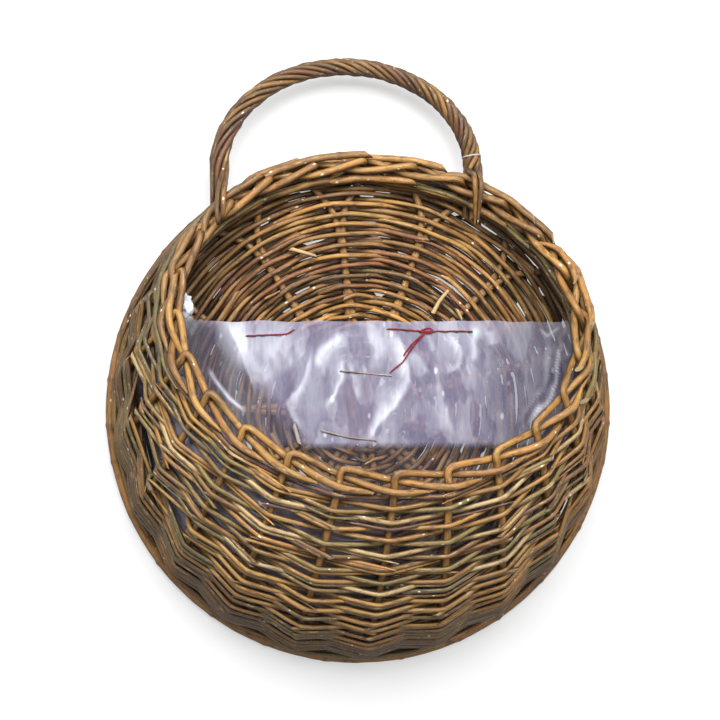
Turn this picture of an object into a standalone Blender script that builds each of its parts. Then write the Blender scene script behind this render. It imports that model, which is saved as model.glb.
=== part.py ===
# Round willow wall basket with a twisted bow handle and a film liner.
# Metres, +Z up, the wall is the plane y = 0 and the basket stands out towards -Y.
# Everything is laid out round the centre of the rim, and an empty lifts it so that the world
# origin is the lowest point of the rim's flat rear face.
# An angle round the basket is 0 at the bottom and grows to the right.

import math

import bmesh
import bpy
from mathutils import Vector

clearance = 0.0003

# Rim and back
outer_radius = 0.150
hoop_radius = 0.003
hoop_sides = 8
hoop_steps = 52
stake_radius = 0.002
stake_count = 24
crowding_share = 0.14
layout_turn_share = 0.5
back_weaver_radius = 0.0014
back_row_pitch = 0.0064
back_inner_radius = 0.034
first_row_margin = 0.0045
last_row_inset = 0.0145
pair_gap_inner = 0.0005
pair_gap_outer = 0.0030
pair_open_inset = 0.0320
single_weave_inset = 0.0215
fan_stagger_share = 0.5
spoke_foot_inset = 0.0110
cross_margin = 0.0020
corner_drop = 0.0035
corner_swell = 0.0009
bowl_swell = 0.0012
bowl_start_depth = 0.0115
rounding_inset = 0.048

# Mouth and bowl
mouth_half_width = 0.113
mouth_top = 0.146
mouth_bottom = -0.0305
mouth_shift = 0.0105
mouth_depth_top = 0.024
mouth_depth_bottom = 0.106
bulge_share = 0.72
mouth_lag_share = 0.13
stake_step = 0.018
arc_over_chord_share = 1.1
stake_steps_least = 3

# Front weave
weaver_radius = 0.0015
weave_pairs = 14
row_pitch_least = 0.0036
rim_margin = 0.0020
border_margin = 0.0150
weaver_tail = 0.006
turn_shift_share = 0.4
turn_reach_share = 1.55

# Border
border_end_share = 0.5
border_end_offset = 0.0026
border_end_drop = 0.0020

# Handle
handle_stake = 2
handle_shift = -0.008
handle_half_width = 0.074
handle_spring_height = 0.142
handle_crown_height = 0.203
handle_foot_height = 0.114
handle_crown_depth = 0.012
handle_spring_depth = 0.019
handle_foot_depth = 0.0135
handle_bend_share = 4 / 7
core_radius = 0.0017
strand_radius = 0.0019
strand_count = 4
foot_strand_count = 2
strand_lead = 0.042
strand_points_per_turn = 8
strand_over_height = 0.0045
strand_foot_spacing = 0.0042
strand_foot_return = 0.0060
arch_steps = 32

# Liner
liner_thickness = 0.0004
liner_gap = 0.0006
liner_top = 0.053
liner_corner_inset = 0.012
liner_rows = 6
liner_start = 0.0100
liner_back_radii_shares = (0.80, 0.55, 0.28)

# Threads
thread_radius = 0.0004
thread_steps = 6
thread_wave = 0.0006
thread_wave_count = 2

red_thread_ends = {
    "thread_left": ((-0.0680, 0.0445), (-0.0445, 0.0455)),
    "thread_right": ((0.0150, 0.0480), (0.0650, 0.0470)),
    "thread_tail": ((0.0380, 0.0450), (0.0165, 0.0240)),
}

willow_brown = (0.40, 0.24, 0.11)
willow_olive = (0.25, 0.20, 0.09)
willow_gold = (0.48, 0.30, 0.12)
bark_brown = (0.20, 0.12, 0.06)
film_clear = (0.75, 0.75, 0.80)
thread_red = (0.30, 0.02, 0.03)

rim_height = outer_radius - hoop_radius
stick_pitch = 2 * stake_radius + clearance
side_offset = stake_radius + clearance + weaver_radius
back_offset = stake_radius + clearance + back_weaver_radius
rear_layer_y = -(stake_radius + clearance)
front_layer_y = rear_layer_y - stick_pitch
pair_total = stake_count // 2
back_first_row = back_inner_radius + first_row_margin
back_outer_radius = outer_radius - last_row_inset
pair_open_radius = outer_radius - pair_open_inset
single_weave_radius = outer_radius - single_weave_inset
spoke_foot_radius = outer_radius - spoke_foot_inset
rounding_radius = outer_radius - rounding_inset
rod_total = stake_count // 4
handle_leg_height = handle_spring_height - handle_foot_height
handle_bend_height = handle_foot_height + handle_bend_share * handle_leg_height


def clear_scene():
    for thing in list(bpy.data.objects):
        bpy.data.objects.remove(thing, do_unlink=True)


def make_material(name, colour, roughness, alpha=1.0):
    material = bpy.data.materials.new(name)
    material.use_nodes = True
    shader = material.node_tree.nodes["Principled BSDF"]
    shader.inputs["Base Color"].default_value = (*colour, 1.0)
    shader.inputs["Roughness"].default_value = roughness
    shader.inputs["Alpha"].default_value = alpha
    return material


def add_object(name, data, material, frame):
    thing = bpy.data.objects.new(name, data)
    bpy.context.collection.objects.link(thing)
    data.materials.append(material)
    thing.parent = frame
    return thing


def rod(name, points, radius, resolution, material, frame):
    """A round stick swept along a run of points, closed at both ends."""
    curve = bpy.data.curves.new(name, "CURVE")
    curve.dimensions = "3D"
    curve.twist_mode = "MINIMUM"
    curve.bevel_depth = radius
    curve.bevel_resolution = resolution
    curve.resolution_u = 1
    curve.render_resolution_u = 0
    curve.use_fill_caps = True
    spline = curve.splines.new("POLY")
    spline.points.add(len(points) - 1)
    for place, point in zip(spline.points, points):
        place.co = (*point, 1.0)
    return add_object(name, curve, material, frame)


def around(angle, radius, y=0.0):
    return Vector((radius * math.sin(angle), y, -radius * math.cos(angle)))


def even_angle(index):
    return math.tau * (index + 0.5) / stake_count - math.pi


def spread(angle):
    """Stakes stand wider apart at the bottom than at the top."""
    return angle + crowding_share * math.sin(angle)


def turned(angle):
    """The whole layout stands turned by a share of a stake's step."""
    return angle + layout_turn_share * math.tau / stake_count


def rim_angle(index):
    return spread(turned(even_angle(index)))


def mouth_point(angle):
    lagged = angle - mouth_lag_share * math.sin(angle)
    middle = (mouth_top + mouth_bottom) / 2
    half_height = (mouth_top - mouth_bottom) / 2
    x = mouth_shift * (1 + math.cos(lagged)) / 2 + mouth_half_width * math.sin(lagged)
    z = middle - half_height * math.cos(lagged)
    share = (mouth_top - z) / (mouth_top - mouth_bottom)
    depth = mouth_depth_top + (mouth_depth_bottom - mouth_depth_top) * share
    return Vector((x, -depth, z))


def hoop_centre():
    """Radius and y of the hoop's middle line."""
    return outer_radius - hoop_radius, -hoop_radius


def corner_point(angle):
    """Where a stake turns from the back into the bowl, tucked under the hoop."""
    radius, y = hoop_centre()
    inset = (hoop_radius + clearance + stake_radius) / math.sqrt(2) + clearance / 2
    return around(angle, radius - inset, y - inset)


def bowl_start(angle):
    corner = corner_point(angle)
    radius = math.hypot(corner.x, corner.z) + bowl_swell
    return around(angle, radius, -bowl_start_depth)


def bulge(angle):
    """1 gives a full quarter round, 0 a straight stake."""
    return bulge_share * (1 - ((1 - math.cos(angle)) / 2) ** 2)


def bowl_path(index):
    """The stake's middle line from the rim to the mouth."""
    angle = rim_angle(index)
    start, end = bowl_start(angle), mouth_point(angle)
    full = bulge(angle)
    length = (end - start).length * arc_over_chord_share
    steps = max(stake_steps_least, round(length / stake_step))
    points = []
    for step in range(steps + 1):
        t = step / steps
        inward = (1 - full) * t + full * (1 - math.cos(t * math.pi / 2))
        outward = (1 - full) * t + full * math.sin(t * math.pi / 2)
        flat = start.lerp(end, inward)
        flat.y = start.y + (end.y - start.y) * outward
        points.append(flat)
    return points


def path_length(points):
    return sum((b - a).length for a, b in zip(points, points[1:]))


def along(points, distance):
    """Point and direction at a distance along a run of points."""
    left = max(distance, 0.0)
    for a, b in zip(points, points[1:]):
        step = (b - a).length
        if left <= step or b is points[-1]:
            return a.lerp(b, min(left / step, 1.0)), (b - a).normalized()
        left -= step


def is_rear_layer(index):
    """The sideways rods lie behind the upright ones where they cross."""
    return abs(math.sin(even_angle(index))) > math.sqrt(0.5)


def cross_step(index):
    """Place of a stick in the crossing, counted in sticks from the middle."""
    quarter = math.tau / 4
    place = (even_angle(index) + quarter / 2) % quarter - quarter / 2
    return round(place / (math.tau / stake_count) - 0.5) + 0.5


def pair_direction(index):
    pair = ((index + 1) // 2) % pair_total
    middle = math.tau * pair / pair_total - math.pi
    return spread(turned(middle))


def pair_side(index):
    """-1 for the first stick of a pair, 1 for the second."""
    return 1 if index % 2 == 0 else -1


def pair_place(index, radius):
    share = (radius - back_inner_radius) / (pair_open_radius - back_inner_radius)
    gap = pair_gap_inner + (pair_gap_outer - pair_gap_inner) * share
    half = stake_radius + gap / 2
    angle = pair_direction(index)
    sideways = Vector((math.cos(angle), 0.0, math.sin(angle)))
    return around(angle, radius, front_layer_y) + sideways * half * pair_side(index)


def back_path(index):
    """A stake's middle line on the back, from the crossing to the rim."""
    outermost = (rod_total - 1) / 2
    stagger = fan_stagger_share * (outermost - abs(cross_step(index)))
    reach = (rod_total / 2 + stagger) * stick_pitch + cross_margin
    quarter = turned(round(even_angle(index) / (math.tau / 4)) * math.tau / 4)
    sideways = Vector((math.cos(quarter), 0.0, math.sin(quarter)))
    layer = rear_layer_y if is_rear_layer(index) else front_layer_y
    start = around(quarter, reach, layer) + sideways * cross_step(index) * stick_pitch
    points = [start, pair_place(index, back_inner_radius)]
    points.append(pair_place(index, pair_open_radius))
    points.append(around(rim_angle(index), spoke_foot_radius, front_layer_y))
    return points


def corner_path(index):
    angle = rim_angle(index)
    corner = corner_point(angle)
    radius = math.hypot(corner.x, corner.z)
    return [corner, around(angle, radius + corner_swell, corner.y - corner_drop)]


def mouth_run(index):
    """Direction of the mouth's edge at a stake."""
    ahead = bowl_paths[(index + 1) % stake_count][-1]
    behind = bowl_paths[(index - 1) % stake_count][-1]
    return (ahead - behind).normalized()


def slant(index):
    """1 where a stake meets the mouth's edge squarely, less where it leans along it."""
    path = bowl_paths[index % stake_count]
    return mouth_run(index).cross((path[-1] - path[-2]).normalized()).length


def border_point(index, outward, drop):
    """A point beside a stake in the border, a square drop below the stake's bend."""
    path = bowl_paths[index % stake_count]
    place, rise = along(path, path_length(path) - drop / slant(index))
    return place + mouth_run(index).cross(rise).normalized() * outward


def border_path(index):
    """Each stake goes inside the next one, outside the one after and stops."""
    first = border_point(index + 1, -stick_pitch, stick_pitch)
    second = border_point(index + 2, stick_pitch, 2 * stick_pitch)
    drop = 2 * stick_pitch + border_end_drop
    near = border_point(index + 2, border_end_offset, drop)
    far = border_point(index + 3, border_end_offset, drop)
    return [first, second, near.lerp(far, border_end_share)]


def stake_path(index):
    """From the crossing on the back to the end in the border."""
    return back_path(index) + corner_path(index) + bowl_paths[index] + border_path(index)


def opposite(index):
    """The stake at the other end of the same rod, level with it or straight above it."""
    if is_rear_layer(index):
        return stake_count - 1 - index
    return (stake_count // 2 - 1 - index) % stake_count


def build_stakes(material, frame):
    done = set()
    number = 0
    for index in range(stake_count):
        if index in done:
            continue
        other = opposite(index)
        done.update((index, other))
        number += 1
        points = list(reversed(stake_path(index))) + stake_path(other)
        rod(f"stake_rod_{number:02d}", points, stake_radius, 1, material, frame)


def build_hoop(material, frame):
    """The rim rod, an octagon turned round the back, flat side to the wall."""
    radius, y = hoop_centre()
    corner_reach = hoop_radius / math.cos(math.pi / hoop_sides)
    mesh = bpy.data.meshes.new("rim_hoop")
    bm = bmesh.new()
    ring = []
    for side in range(hoop_sides):
        turn = math.tau * (side + 0.5) / hoop_sides
        place = (radius + corner_reach * math.cos(turn), y + corner_reach * math.sin(turn), 0.0)
        ring.append(bm.verts.new(place))
    edges = [bm.edges.new((ring[i], ring[(i + 1) % hoop_sides])) for i in range(hoop_sides)]
    bmesh.ops.spin(
        bm, geom=ring + edges, cent=(0, 0, 0), axis=(0, 1, 0),
        angle=math.tau, steps=hoop_steps, use_merge=True,
    )
    bmesh.ops.recalc_face_normals(bm, faces=bm.faces)
    bm.to_mesh(mesh)
    bm.free()
    return add_object("rim_hoop", mesh, material, frame)


def at_radius(points, radius):
    """Where a stake on the back is this far from the centre."""
    for a, b in zip(points, points[1:]):
        near, far = math.hypot(a.x, a.z), math.hypot(b.x, b.z)
        if near <= radius <= far:
            return a.lerp(b, (radius - near) / (far - near))
    return points[-1].copy()


def back_side(index, radius, turn_over):
    """Pairs are woven as one stick, single stakes outside them one by one."""
    if radius < single_weave_radius:
        count = (index + 1) // 2 % pair_total
    else:
        count = index
    return 1 if (count + turn_over) % 2 else -1


def back_lift(radius):
    """Room beside the sticks for a weaver that slopes from one side to the other."""
    spacing = math.tau * radius / pair_total - 2 * stick_pitch
    return back_offset * math.hypot(1.0, 2 * back_offset / spacing)


def back_spiral(turn_over):
    """One of the two rods that chase each other outwards round the back."""
    points = []
    per_turn = 2 * back_row_pitch
    radius = back_first_row + turn_over * back_row_pitch
    step = 0
    while radius < back_outer_radius:
        index = step % stake_count
        place = at_radius(back_paths[index], radius)
        place.y = front_layer_y + back_lift(radius) * back_side(index, radius, turn_over)
        points.append(place)
        if radius > rounding_radius and index % 2 == 0:
            middle = (rim_angle(index) + rim_angle(index + 1)) / 2
            points.append(around(middle, radius + per_turn / stake_count / 2, front_layer_y))
        step += 1
        radius += per_turn / stake_count
    return points


def build_back(materials, frame):
    for number, material in enumerate(materials):
        points = back_spiral(number)
        rod(f"back_weaver_{number + 1}", points, back_weaver_radius, 0, material, frame)


def usable(index):
    """Length of a stake that the weave covers."""
    return path_length(bowl_paths[index]) - rim_margin - border_margin / slant(index)


def pairs_at(index):
    """How many pairs of rows the stake has room for."""
    room = usable(index) * slant(index) / (2 * row_pitch_least)
    return max(0, min(weave_pairs, math.floor(room)))


def kept_pairs(count):
    """The middle pairs stop first as the basket narrows upwards."""
    middle = (weave_pairs - 1) / 2
    order = sorted(range(weave_pairs), key=lambda pair: -abs(pair - middle))
    return sorted(order[:count])


def row_place(index, row, outward):
    """A point beside a stake, on a row of the front weave."""
    kept = kept_pairs(pairs_at(index))
    rank = 2 * kept.index(row // 2) + row % 2
    distance = rim_margin + usable(index) * (rank + 0.5) / (2 * len(kept))
    point, rise = along(bowl_paths[index], distance)
    share = distance / path_length(bowl_paths[index])
    ahead, behind = bowl_paths[(index + 1) % stake_count], bowl_paths[index - 1]
    run = along(ahead, share * path_length(ahead))[0]
    run = (run - along(behind, share * path_length(behind))[0]).normalized()
    out = run.cross(rise).normalized()
    return point + out * side_offset * outward, run


def row_span(pair):
    """First and last stake of a pair of rows, counted round the bottom."""
    kept = [index for index in range(stake_count) if pair in kept_pairs(pairs_at(index))]
    return kept[0], kept[-1]


def row_points(pair, row, stakes):
    points = []
    for index in stakes:
        outward = 1 if (index + row) % 2 else -1
        points.append(row_place(index, row, outward)[0])
    return points


def turn_points(index, first_row, second_row, way):
    """The loop of a weaver round its last stake."""
    outward = 1 if (index + first_row) % 2 else -1
    start, run = row_place(index, first_row, outward)
    end, other_run = row_place(index, second_row, -outward)
    shift = side_offset * turn_shift_share * way
    reach = side_offset * turn_reach_share * way
    middle = start.lerp(end, 0.5) + run * reach
    return [start + run * shift, middle, end + other_run * shift]


def tail_point(index, row, way):
    outward = 1 if (index + row) % 2 else -1
    place, run = row_place(index, row, outward)
    return place + run * weaver_tail * way


def weave_pair(pair):
    """Two rows of the bowl, one weaver going over and coming back."""
    low, high = row_span(pair)
    stakes = list(range(low, high + 1))
    if pair % 2:
        stakes.reverse()
    way = 1 if stakes[-1] > stakes[0] else -1
    first, second = 2 * pair, 2 * pair + 1
    points = [tail_point(stakes[0], first, -way)]
    points += row_points(pair, first, stakes)
    points += turn_points(stakes[-1], first, second, way)
    points += row_points(pair, second, reversed(stakes))
    points.append(tail_point(stakes[0], second, -way))
    return points


def build_front(materials, frame):
    for pair in range(weave_pairs):
        material = materials[pair % len(materials)]
        points = weave_pair(pair)
        rod(f"front_weaver_{pair + 1:02d}", points, weaver_radius, 0, material, frame)


def foot_seat(side):
    """Sideways place of a foot, pushed down against the right flank of a stake."""
    index = handle_stake if side < 0 else stake_count - 1 - handle_stake
    for a, b in zip(bowl_paths[index], bowl_paths[index][1:]):
        if b.y <= -handle_foot_depth <= a.y:
            place = a.lerp(b, (a.y + handle_foot_depth) / (a.y - b.y))
            square = Vector((0.0, 0.0, 1.0)).cross(b - a).normalized()
            return place.x + (stake_radius + clearance + core_radius) / abs(square.x)


def handle_leg(side, height):
    """Middle line of the handle below its arch, bent back to pass behind the border."""
    reach = handle_spring_height - handle_bend_height
    share = max(0.0, height - handle_bend_height) / reach
    foot = Vector((foot_seat(side), -handle_foot_depth, height))
    spring = Vector((handle_shift + side * handle_half_width, -handle_spring_depth, height))
    return foot.lerp(spring, share)


def arch_point(share):
    """Middle line of the handle's arch, from left to right."""
    turn = math.pi * (1 - share)
    lift = math.sin(turn)
    depth = handle_spring_depth + (handle_crown_depth - handle_spring_depth) * lift
    x = handle_shift + handle_half_width * math.cos(turn)
    rise = handle_crown_height - handle_spring_height
    return Vector((x, -depth, handle_spring_height + rise * lift))


def arch_line():
    return [arch_point(step / arch_steps) for step in range(arch_steps + 1)]


def mouth_beside(x):
    """The mouth's upper edge right or left of the middle, level with a sideways place."""
    steps = stake_count * stake_count
    angles = [math.tau * (step / steps - 0.5) for step in range(steps)]
    upper = [mouth_point(angle) for angle in angles if math.cos(angle) < 0]
    return min(upper, key=lambda point: abs(point.x - x))


def foot_run(side, sideways):
    """A strand's end: over the front of the border and down inside the basket."""
    x = handle_shift + side * handle_half_width + sideways
    edge = mouth_beside(x)
    front = edge.y - stick_pitch - strand_radius
    return [
        Vector((x, front + strand_radius, edge.z + strand_over_height)),
        Vector((x, front, edge.z)),
        Vector((x, front + strand_radius, edge.z - strand_foot_return)),
        Vector((x, edge.y - stake_radius - strand_radius, handle_foot_height)),
    ]


def strand_points(number):
    """One strand of the twist, wound round the core."""
    line = arch_line()
    total = path_length(line)
    turns = round(total / strand_lead)
    steps = turns * strand_points_per_turn
    reach = core_radius + clearance + strand_radius
    points = []
    for step in range(steps + 1):
        place, direction = along(line, total * step / steps)
        side = direction.cross(Vector((0.0, -1.0, 0.0))).normalized()
        forward = side.cross(direction).normalized()
        turn = math.tau * (number / strand_count - turns * step / steps)
        points.append(place + side * reach * math.cos(turn) + forward * reach * math.sin(turn))
    if number >= foot_strand_count:
        return points
    left = foot_run(-1, strand_foot_spacing * (0.5 - number))
    right = foot_run(1, strand_foot_spacing * (number - 0.5))
    return list(reversed(left)) + points + right


def handle_ends(side):
    heights = (handle_bend_height, handle_foot_height)
    return [handle_leg(side, height) for height in heights]


def build_handle(core_material, strand_material, frame):
    points = list(reversed(handle_ends(-1))) + arch_line() + handle_ends(1)
    rod("handle_core", points, core_radius, 1, core_material, frame)
    for number in range(strand_count):
        name = f"handle_strand_{number + 1}"
        rod(name, strand_points(number), strand_radius, 1, strand_material, frame)


def liner_column(index):
    """The film's run beside one stake, from under the border to the middle of the back."""
    path = bowl_paths[index]
    total = path_length(path)
    inside = side_offset + weaver_radius + liner_gap + liner_thickness
    points = []
    for step in range(liner_rows):
        share = 1 - step / (liner_rows - 1)
        distance = liner_start + (total - border_margin - liner_start) * share
        place, rise = along(path, distance)
        ahead, behind = bowl_paths[(index + 1) % stake_count], bowl_paths[index - 1]
        along_share = distance / total
        run = along(ahead, along_share * path_length(ahead))[0]
        run = (run - along(behind, along_share * path_length(behind))[0]).normalized()
        points.append(place - run.cross(rise).normalized() * inside)
    back_y = front_layer_y - back_offset - back_weaver_radius - liner_gap - liner_thickness
    edge = outer_radius - liner_corner_inset
    angle = rim_angle(index)
    for share in liner_back_radii_shares:
        points.append(around(angle, edge * share, back_y))
    return points, Vector((0.0, back_y, 0.0))


def build_liner(material, frame):
    mesh = bpy.data.meshes.new("film_liner")
    bm = bmesh.new()
    columns = []
    for index in range(stake_count):
        points, middle = liner_column(index)
        columns.append([bm.verts.new(point) for point in points])
    centre = bm.verts.new(middle)
    for index in range(stake_count):
        near, far = columns[index], columns[(index + 1) % stake_count]
        for row in range(len(near) - 1):
            bm.faces.new((near[row], near[row + 1], far[row + 1], far[row]))
        bm.faces.new((near[-1], centre, far[-1]))
    geometry = bm.verts[:] + bm.edges[:] + bm.faces[:]
    bmesh.ops.bisect_plane(
        bm, geom=geometry, plane_co=(0, 0, liner_top), plane_no=(0, 0, 1), clear_outer=True,
    )
    bmesh.ops.recalc_face_normals(bm, faces=bm.faces)
    bmesh.ops.triangulate(bm, faces=bm.faces)
    bm.to_mesh(mesh)
    bm.free()
    thing = add_object("film_liner", mesh, material, frame)
    wall = thing.modifiers.new("film", "SOLIDIFY")
    wall.thickness = liner_thickness
    wall.offset = 0.0
    return thing


def build_threads(material, frame):
    back_y = front_layer_y - back_offset - back_weaver_radius - liner_gap - liner_thickness
    y = back_y - liner_thickness / 2 - clearance - thread_radius - thread_wave
    for name, (start, end) in red_thread_ends.items():
        points = []
        for step in range(thread_steps + 1):
            share = step / thread_steps
            x = start[0] + (end[0] - start[0]) * share
            z = start[1] + (end[1] - start[1]) * share
            points.append(Vector((x, y, z + thread_wave * math.sin(share * math.tau * thread_wave_count))))
        rod(name, points, thread_radius, 0, material, frame)


clear_scene()
basket_frame = bpy.data.objects.new("basket_frame", None)
bpy.context.collection.objects.link(basket_frame)
basket_frame.location = (0, 0, rim_height)

bowl_paths = [bowl_path(index) for index in range(stake_count)]
back_paths = [back_path(index) for index in range(stake_count)]

stake_material = make_material("stake_willow", willow_brown, 0.6)
back_material = make_material("back_willow", willow_brown, 0.6)
olive_material = make_material("front_willow_olive", willow_olive, 0.6)
brown_material = make_material("front_willow_brown", bark_brown, 0.65)
gold_material = make_material("handle_willow", willow_gold, 0.5)
rim_material = make_material("rim_willow", willow_brown, 0.5)
film_material = make_material("film", film_clear, 0.15, 0.35)
thread_material = make_material("thread", thread_red, 0.8)

build_hoop(rim_material, basket_frame)
build_stakes(stake_material, basket_frame)
build_back((back_material, olive_material), basket_frame)
build_front((olive_material, brown_material, gold_material), basket_frame)
build_handle(brown_material, gold_material, basket_frame)
build_liner(film_material, basket_frame)
build_threads(thread_material, basket_frame)
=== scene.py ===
# Looks of a round willow wall basket with a twisted bow handle and a film liner.
# Metres. The wall is the plane y = 0 and the basket stands out towards -Y.
# Layout points are measured from the middle of the rim and lifted to the frame at the end.

import math
import random

import bmesh
import bpy
import numpy as np
from mathutils import Matrix, Vector, noise
from mathutils.bvhtree import BVHTree
from mathutils.geometry import interpolate_bezier


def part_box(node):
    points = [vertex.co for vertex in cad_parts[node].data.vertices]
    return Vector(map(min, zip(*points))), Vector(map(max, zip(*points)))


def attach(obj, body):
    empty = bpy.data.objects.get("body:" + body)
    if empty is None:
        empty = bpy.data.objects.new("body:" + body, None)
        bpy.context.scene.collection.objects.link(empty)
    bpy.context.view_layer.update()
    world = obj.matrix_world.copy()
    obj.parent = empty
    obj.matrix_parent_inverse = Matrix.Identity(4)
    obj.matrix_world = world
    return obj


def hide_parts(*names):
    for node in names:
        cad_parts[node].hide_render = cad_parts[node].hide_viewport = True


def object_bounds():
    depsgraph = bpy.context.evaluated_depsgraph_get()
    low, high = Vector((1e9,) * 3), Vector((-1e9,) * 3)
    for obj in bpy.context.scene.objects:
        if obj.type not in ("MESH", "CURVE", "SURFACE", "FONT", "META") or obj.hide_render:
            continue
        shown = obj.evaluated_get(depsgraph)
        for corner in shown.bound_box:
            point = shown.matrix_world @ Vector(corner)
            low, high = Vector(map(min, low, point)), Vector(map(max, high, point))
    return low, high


noise.seed_set(1)  # unseeded, the rods' wander would differ at each run
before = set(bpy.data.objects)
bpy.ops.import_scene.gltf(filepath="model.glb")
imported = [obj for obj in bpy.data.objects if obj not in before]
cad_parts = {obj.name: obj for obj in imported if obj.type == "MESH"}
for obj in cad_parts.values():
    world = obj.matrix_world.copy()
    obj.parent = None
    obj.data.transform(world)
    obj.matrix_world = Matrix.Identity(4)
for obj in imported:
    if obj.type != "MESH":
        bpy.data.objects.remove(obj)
cadLow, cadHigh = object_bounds()

hoopLow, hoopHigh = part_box("rim_hoop")
outerRadius = (hoopHigh.x - hoopLow.x) / 2
rimHeight = (hoopHigh.z + hoopLow.z) / 2
hoopRadius = (hoopHigh.y - hoopLow.y) / 2
lift = Matrix.Translation((0, 0, rimHeight))
print("frame: rim", round(outerRadius, 4), "m at height", round(rimHeight, 4))

bowl = {
    "stakeCount": 24,
    "stakeRadius": 0.0020,
    "clearance": 0.0003,
    "crowdingShare": 0.14,
    "turnShare": 0.5,
    "mouthHalfWidth": 0.113,
    "mouthTop": 0.146,
    "mouthBottom": -0.0305,
    "mouthShift": 0.0105,
    "depthTop": 0.024,
    "depthBottom": 0.106,
    "bulgeShare": 0.72,
    "lagShare": 0.13,
    "cornerDrop": 0.0035,
    "cornerSwell": 0.0009,
    "startSwell": -0.0016,
    "startSway": -0.0008,  # the rows start further in on the right
    "startDepth": 0.0115,
    "steps": 20,
}
stakeCount = bowl["stakeCount"]
stickPitch = 2 * bowl["stakeRadius"] + bowl["clearance"]
pairTotal = stakeCount // 2
rodTotal = stakeCount // 4


def around(angle, radius, y=0.0):  # 0 is the bottom, and angles grow to the right
    return Vector((radius * math.sin(angle), y, -radius * math.cos(angle)))


def evenAngle(index):
    return math.tau * (index + 0.5) / stakeCount - math.pi


def spread(angle):
    return angle + bowl["crowdingShare"] * math.sin(angle)


def turned(angle):  # the whole layout stands turned by a share of a stake's step
    return angle + bowl["turnShare"] * math.tau / stakeCount


def rimAngle(index):
    return spread(turned(evenAngle(index)))


def mouthPoint(angle):
    lagged = angle - bowl["lagShare"] * math.sin(angle)
    middle = (bowl["mouthTop"] + bowl["mouthBottom"]) / 2
    halfHeight = (bowl["mouthTop"] - bowl["mouthBottom"]) / 2
    x = bowl["mouthShift"] * (1 + math.cos(lagged)) / 2 + bowl["mouthHalfWidth"] * math.sin(lagged)
    z = middle - halfHeight * math.cos(lagged)
    share = (bowl["mouthTop"] - z) / (2 * halfHeight)
    depth = bowl["depthTop"] + (bowl["depthBottom"] - bowl["depthTop"]) * share
    return Vector((x, -depth, z))


def cornerPoint(angle):
    inset = (hoopRadius + bowl["clearance"] + bowl["stakeRadius"]) / math.sqrt(2)
    return around(angle, outerRadius - hoopRadius - inset, -hoopRadius - inset)


def bowlStart(angle):
    corner = cornerPoint(angle)
    swell = bowl["startSwell"] + bowl["startSway"] * math.sin(angle)
    return around(angle, math.hypot(corner.x, corner.z) + swell, -bowl["startDepth"])


def bowlPath(index):
    angle = rimAngle(index)
    start, end = bowlStart(angle), mouthPoint(angle)
    full = bowl["bulgeShare"] * (1 - ((1 - math.cos(angle)) / 2) ** 2)
    points = []
    for step in range(bowl["steps"] + 1):
        t = step / bowl["steps"]
        inward = (1 - full) * t + full * (1 - math.cos(t * math.pi / 2))
        outward = (1 - full) * t + full * math.sin(t * math.pi / 2)
        point = start.lerp(end, inward)
        point.y = start.y + (end.y - start.y) * outward
        points.append(point)
    return points


bowlPaths = [bowlPath(index) for index in range(stakeCount)]


def runLength(points):
    return sum((b - a).length for a, b in zip(points, points[1:]))


def along(points, distance):  # point and direction at a distance along a run
    left = max(distance, 0.0)
    for a, b in zip(points, points[1:]):
        step = (b - a).length
        if left <= step or b is points[-1]:
            return a.lerp(b, min(left / max(step, 1e-9), 1.0)), (b - a).normalized()
        left -= step


bowlLengths = [runLength(path) for path in bowlPaths]


# Rods: bent tubes with buds, uneven bark and slanting cut ends
rods = {
    "step": 0.0024,  # spacing of the rings along a rod
    "resolution": 3,
    "bend": 0.3,  # how far a corner's handles reach, as a share of its sides
    "turnReach": 0.006,  # the most that they reach at a sharp corner, in metres
    "sharpCorner": 38,  # degrees, above which a corner is sharp
    "wander": 0.00022,
    "wanderPerMetre": 45,
    "budGap": (0.020, 0.048),
    "budSwell": 0.19,
    "budLength": 0.0014,
    "unevenness": 0.09,
    "unevennessPerMetre": 70,
    "cutReach": 2.2,
    "tipLeast": 0.4,
    "cutSlope": 1.2,
    "cutRing": 1.5,  # in radii, what counts as the end's own ring
    "cutFlat": 0.02,
    "cutMiddle": (0.0, -0.035, 0.0),  # cut faces look away from here
    "barkRun": 20,  # metres of bark pattern that a rod may start in
    "weld": 1e-6,
}


def smoothRun(points, bend=rods["bend"], turnReach=rods["turnReach"]):  # rounds the corners of a run
    sharpest = math.cos(math.radians(rods["sharpCorner"]))
    ways = [(b - a).normalized() for a, b in zip(points, points[1:])]
    tangents = [ways[0]]
    sharp = [False]
    for before, after in zip(ways, ways[1:]):
        tangents.append((before + after).normalized())
        sharp.append(before.dot(after) < sharpest)
    tangents.append(ways[-1])
    sharp.append(False)
    run = [points[0].copy()]
    for i, (a, b) in enumerate(zip(points, points[1:])):
        length = (b - a).length
        handleA = min(bend * length, turnReach) if sharp[i] else bend * length
        handleB = min(bend * length, turnReach) if sharp[i + 1] else bend * length
        pieces = max(3, round(length / rods["step"]) + 1)
        run += interpolate_bezier(
            a, a + tangents[i] * handleA, b - tangents[i + 1] * handleB, b, pieces
        )[1:]
    return run


def evenRun(points, step):  # the same run with evenly spaced points
    total = runLength(points)
    count = max(2, round(total / step))
    even, reached, i = [points[0].copy()], 0.0, 0
    for number in range(1, count):
        goal = total * number / count
        while reached + (points[i + 1] - points[i]).length < goal:
            reached += (points[i + 1] - points[i]).length
            i += 1
        even.append(points[i].lerp(points[i + 1], (goal - reached) / (points[i + 1] - points[i]).length))
    even.append(points[-1].copy())
    return even


def budPlaces(total, rng):
    places, place = [], rng.uniform(0, rods["budGap"][1])
    while place < total:
        places.append(place)
        place += rng.uniform(*rods["budGap"])
    return places


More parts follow.
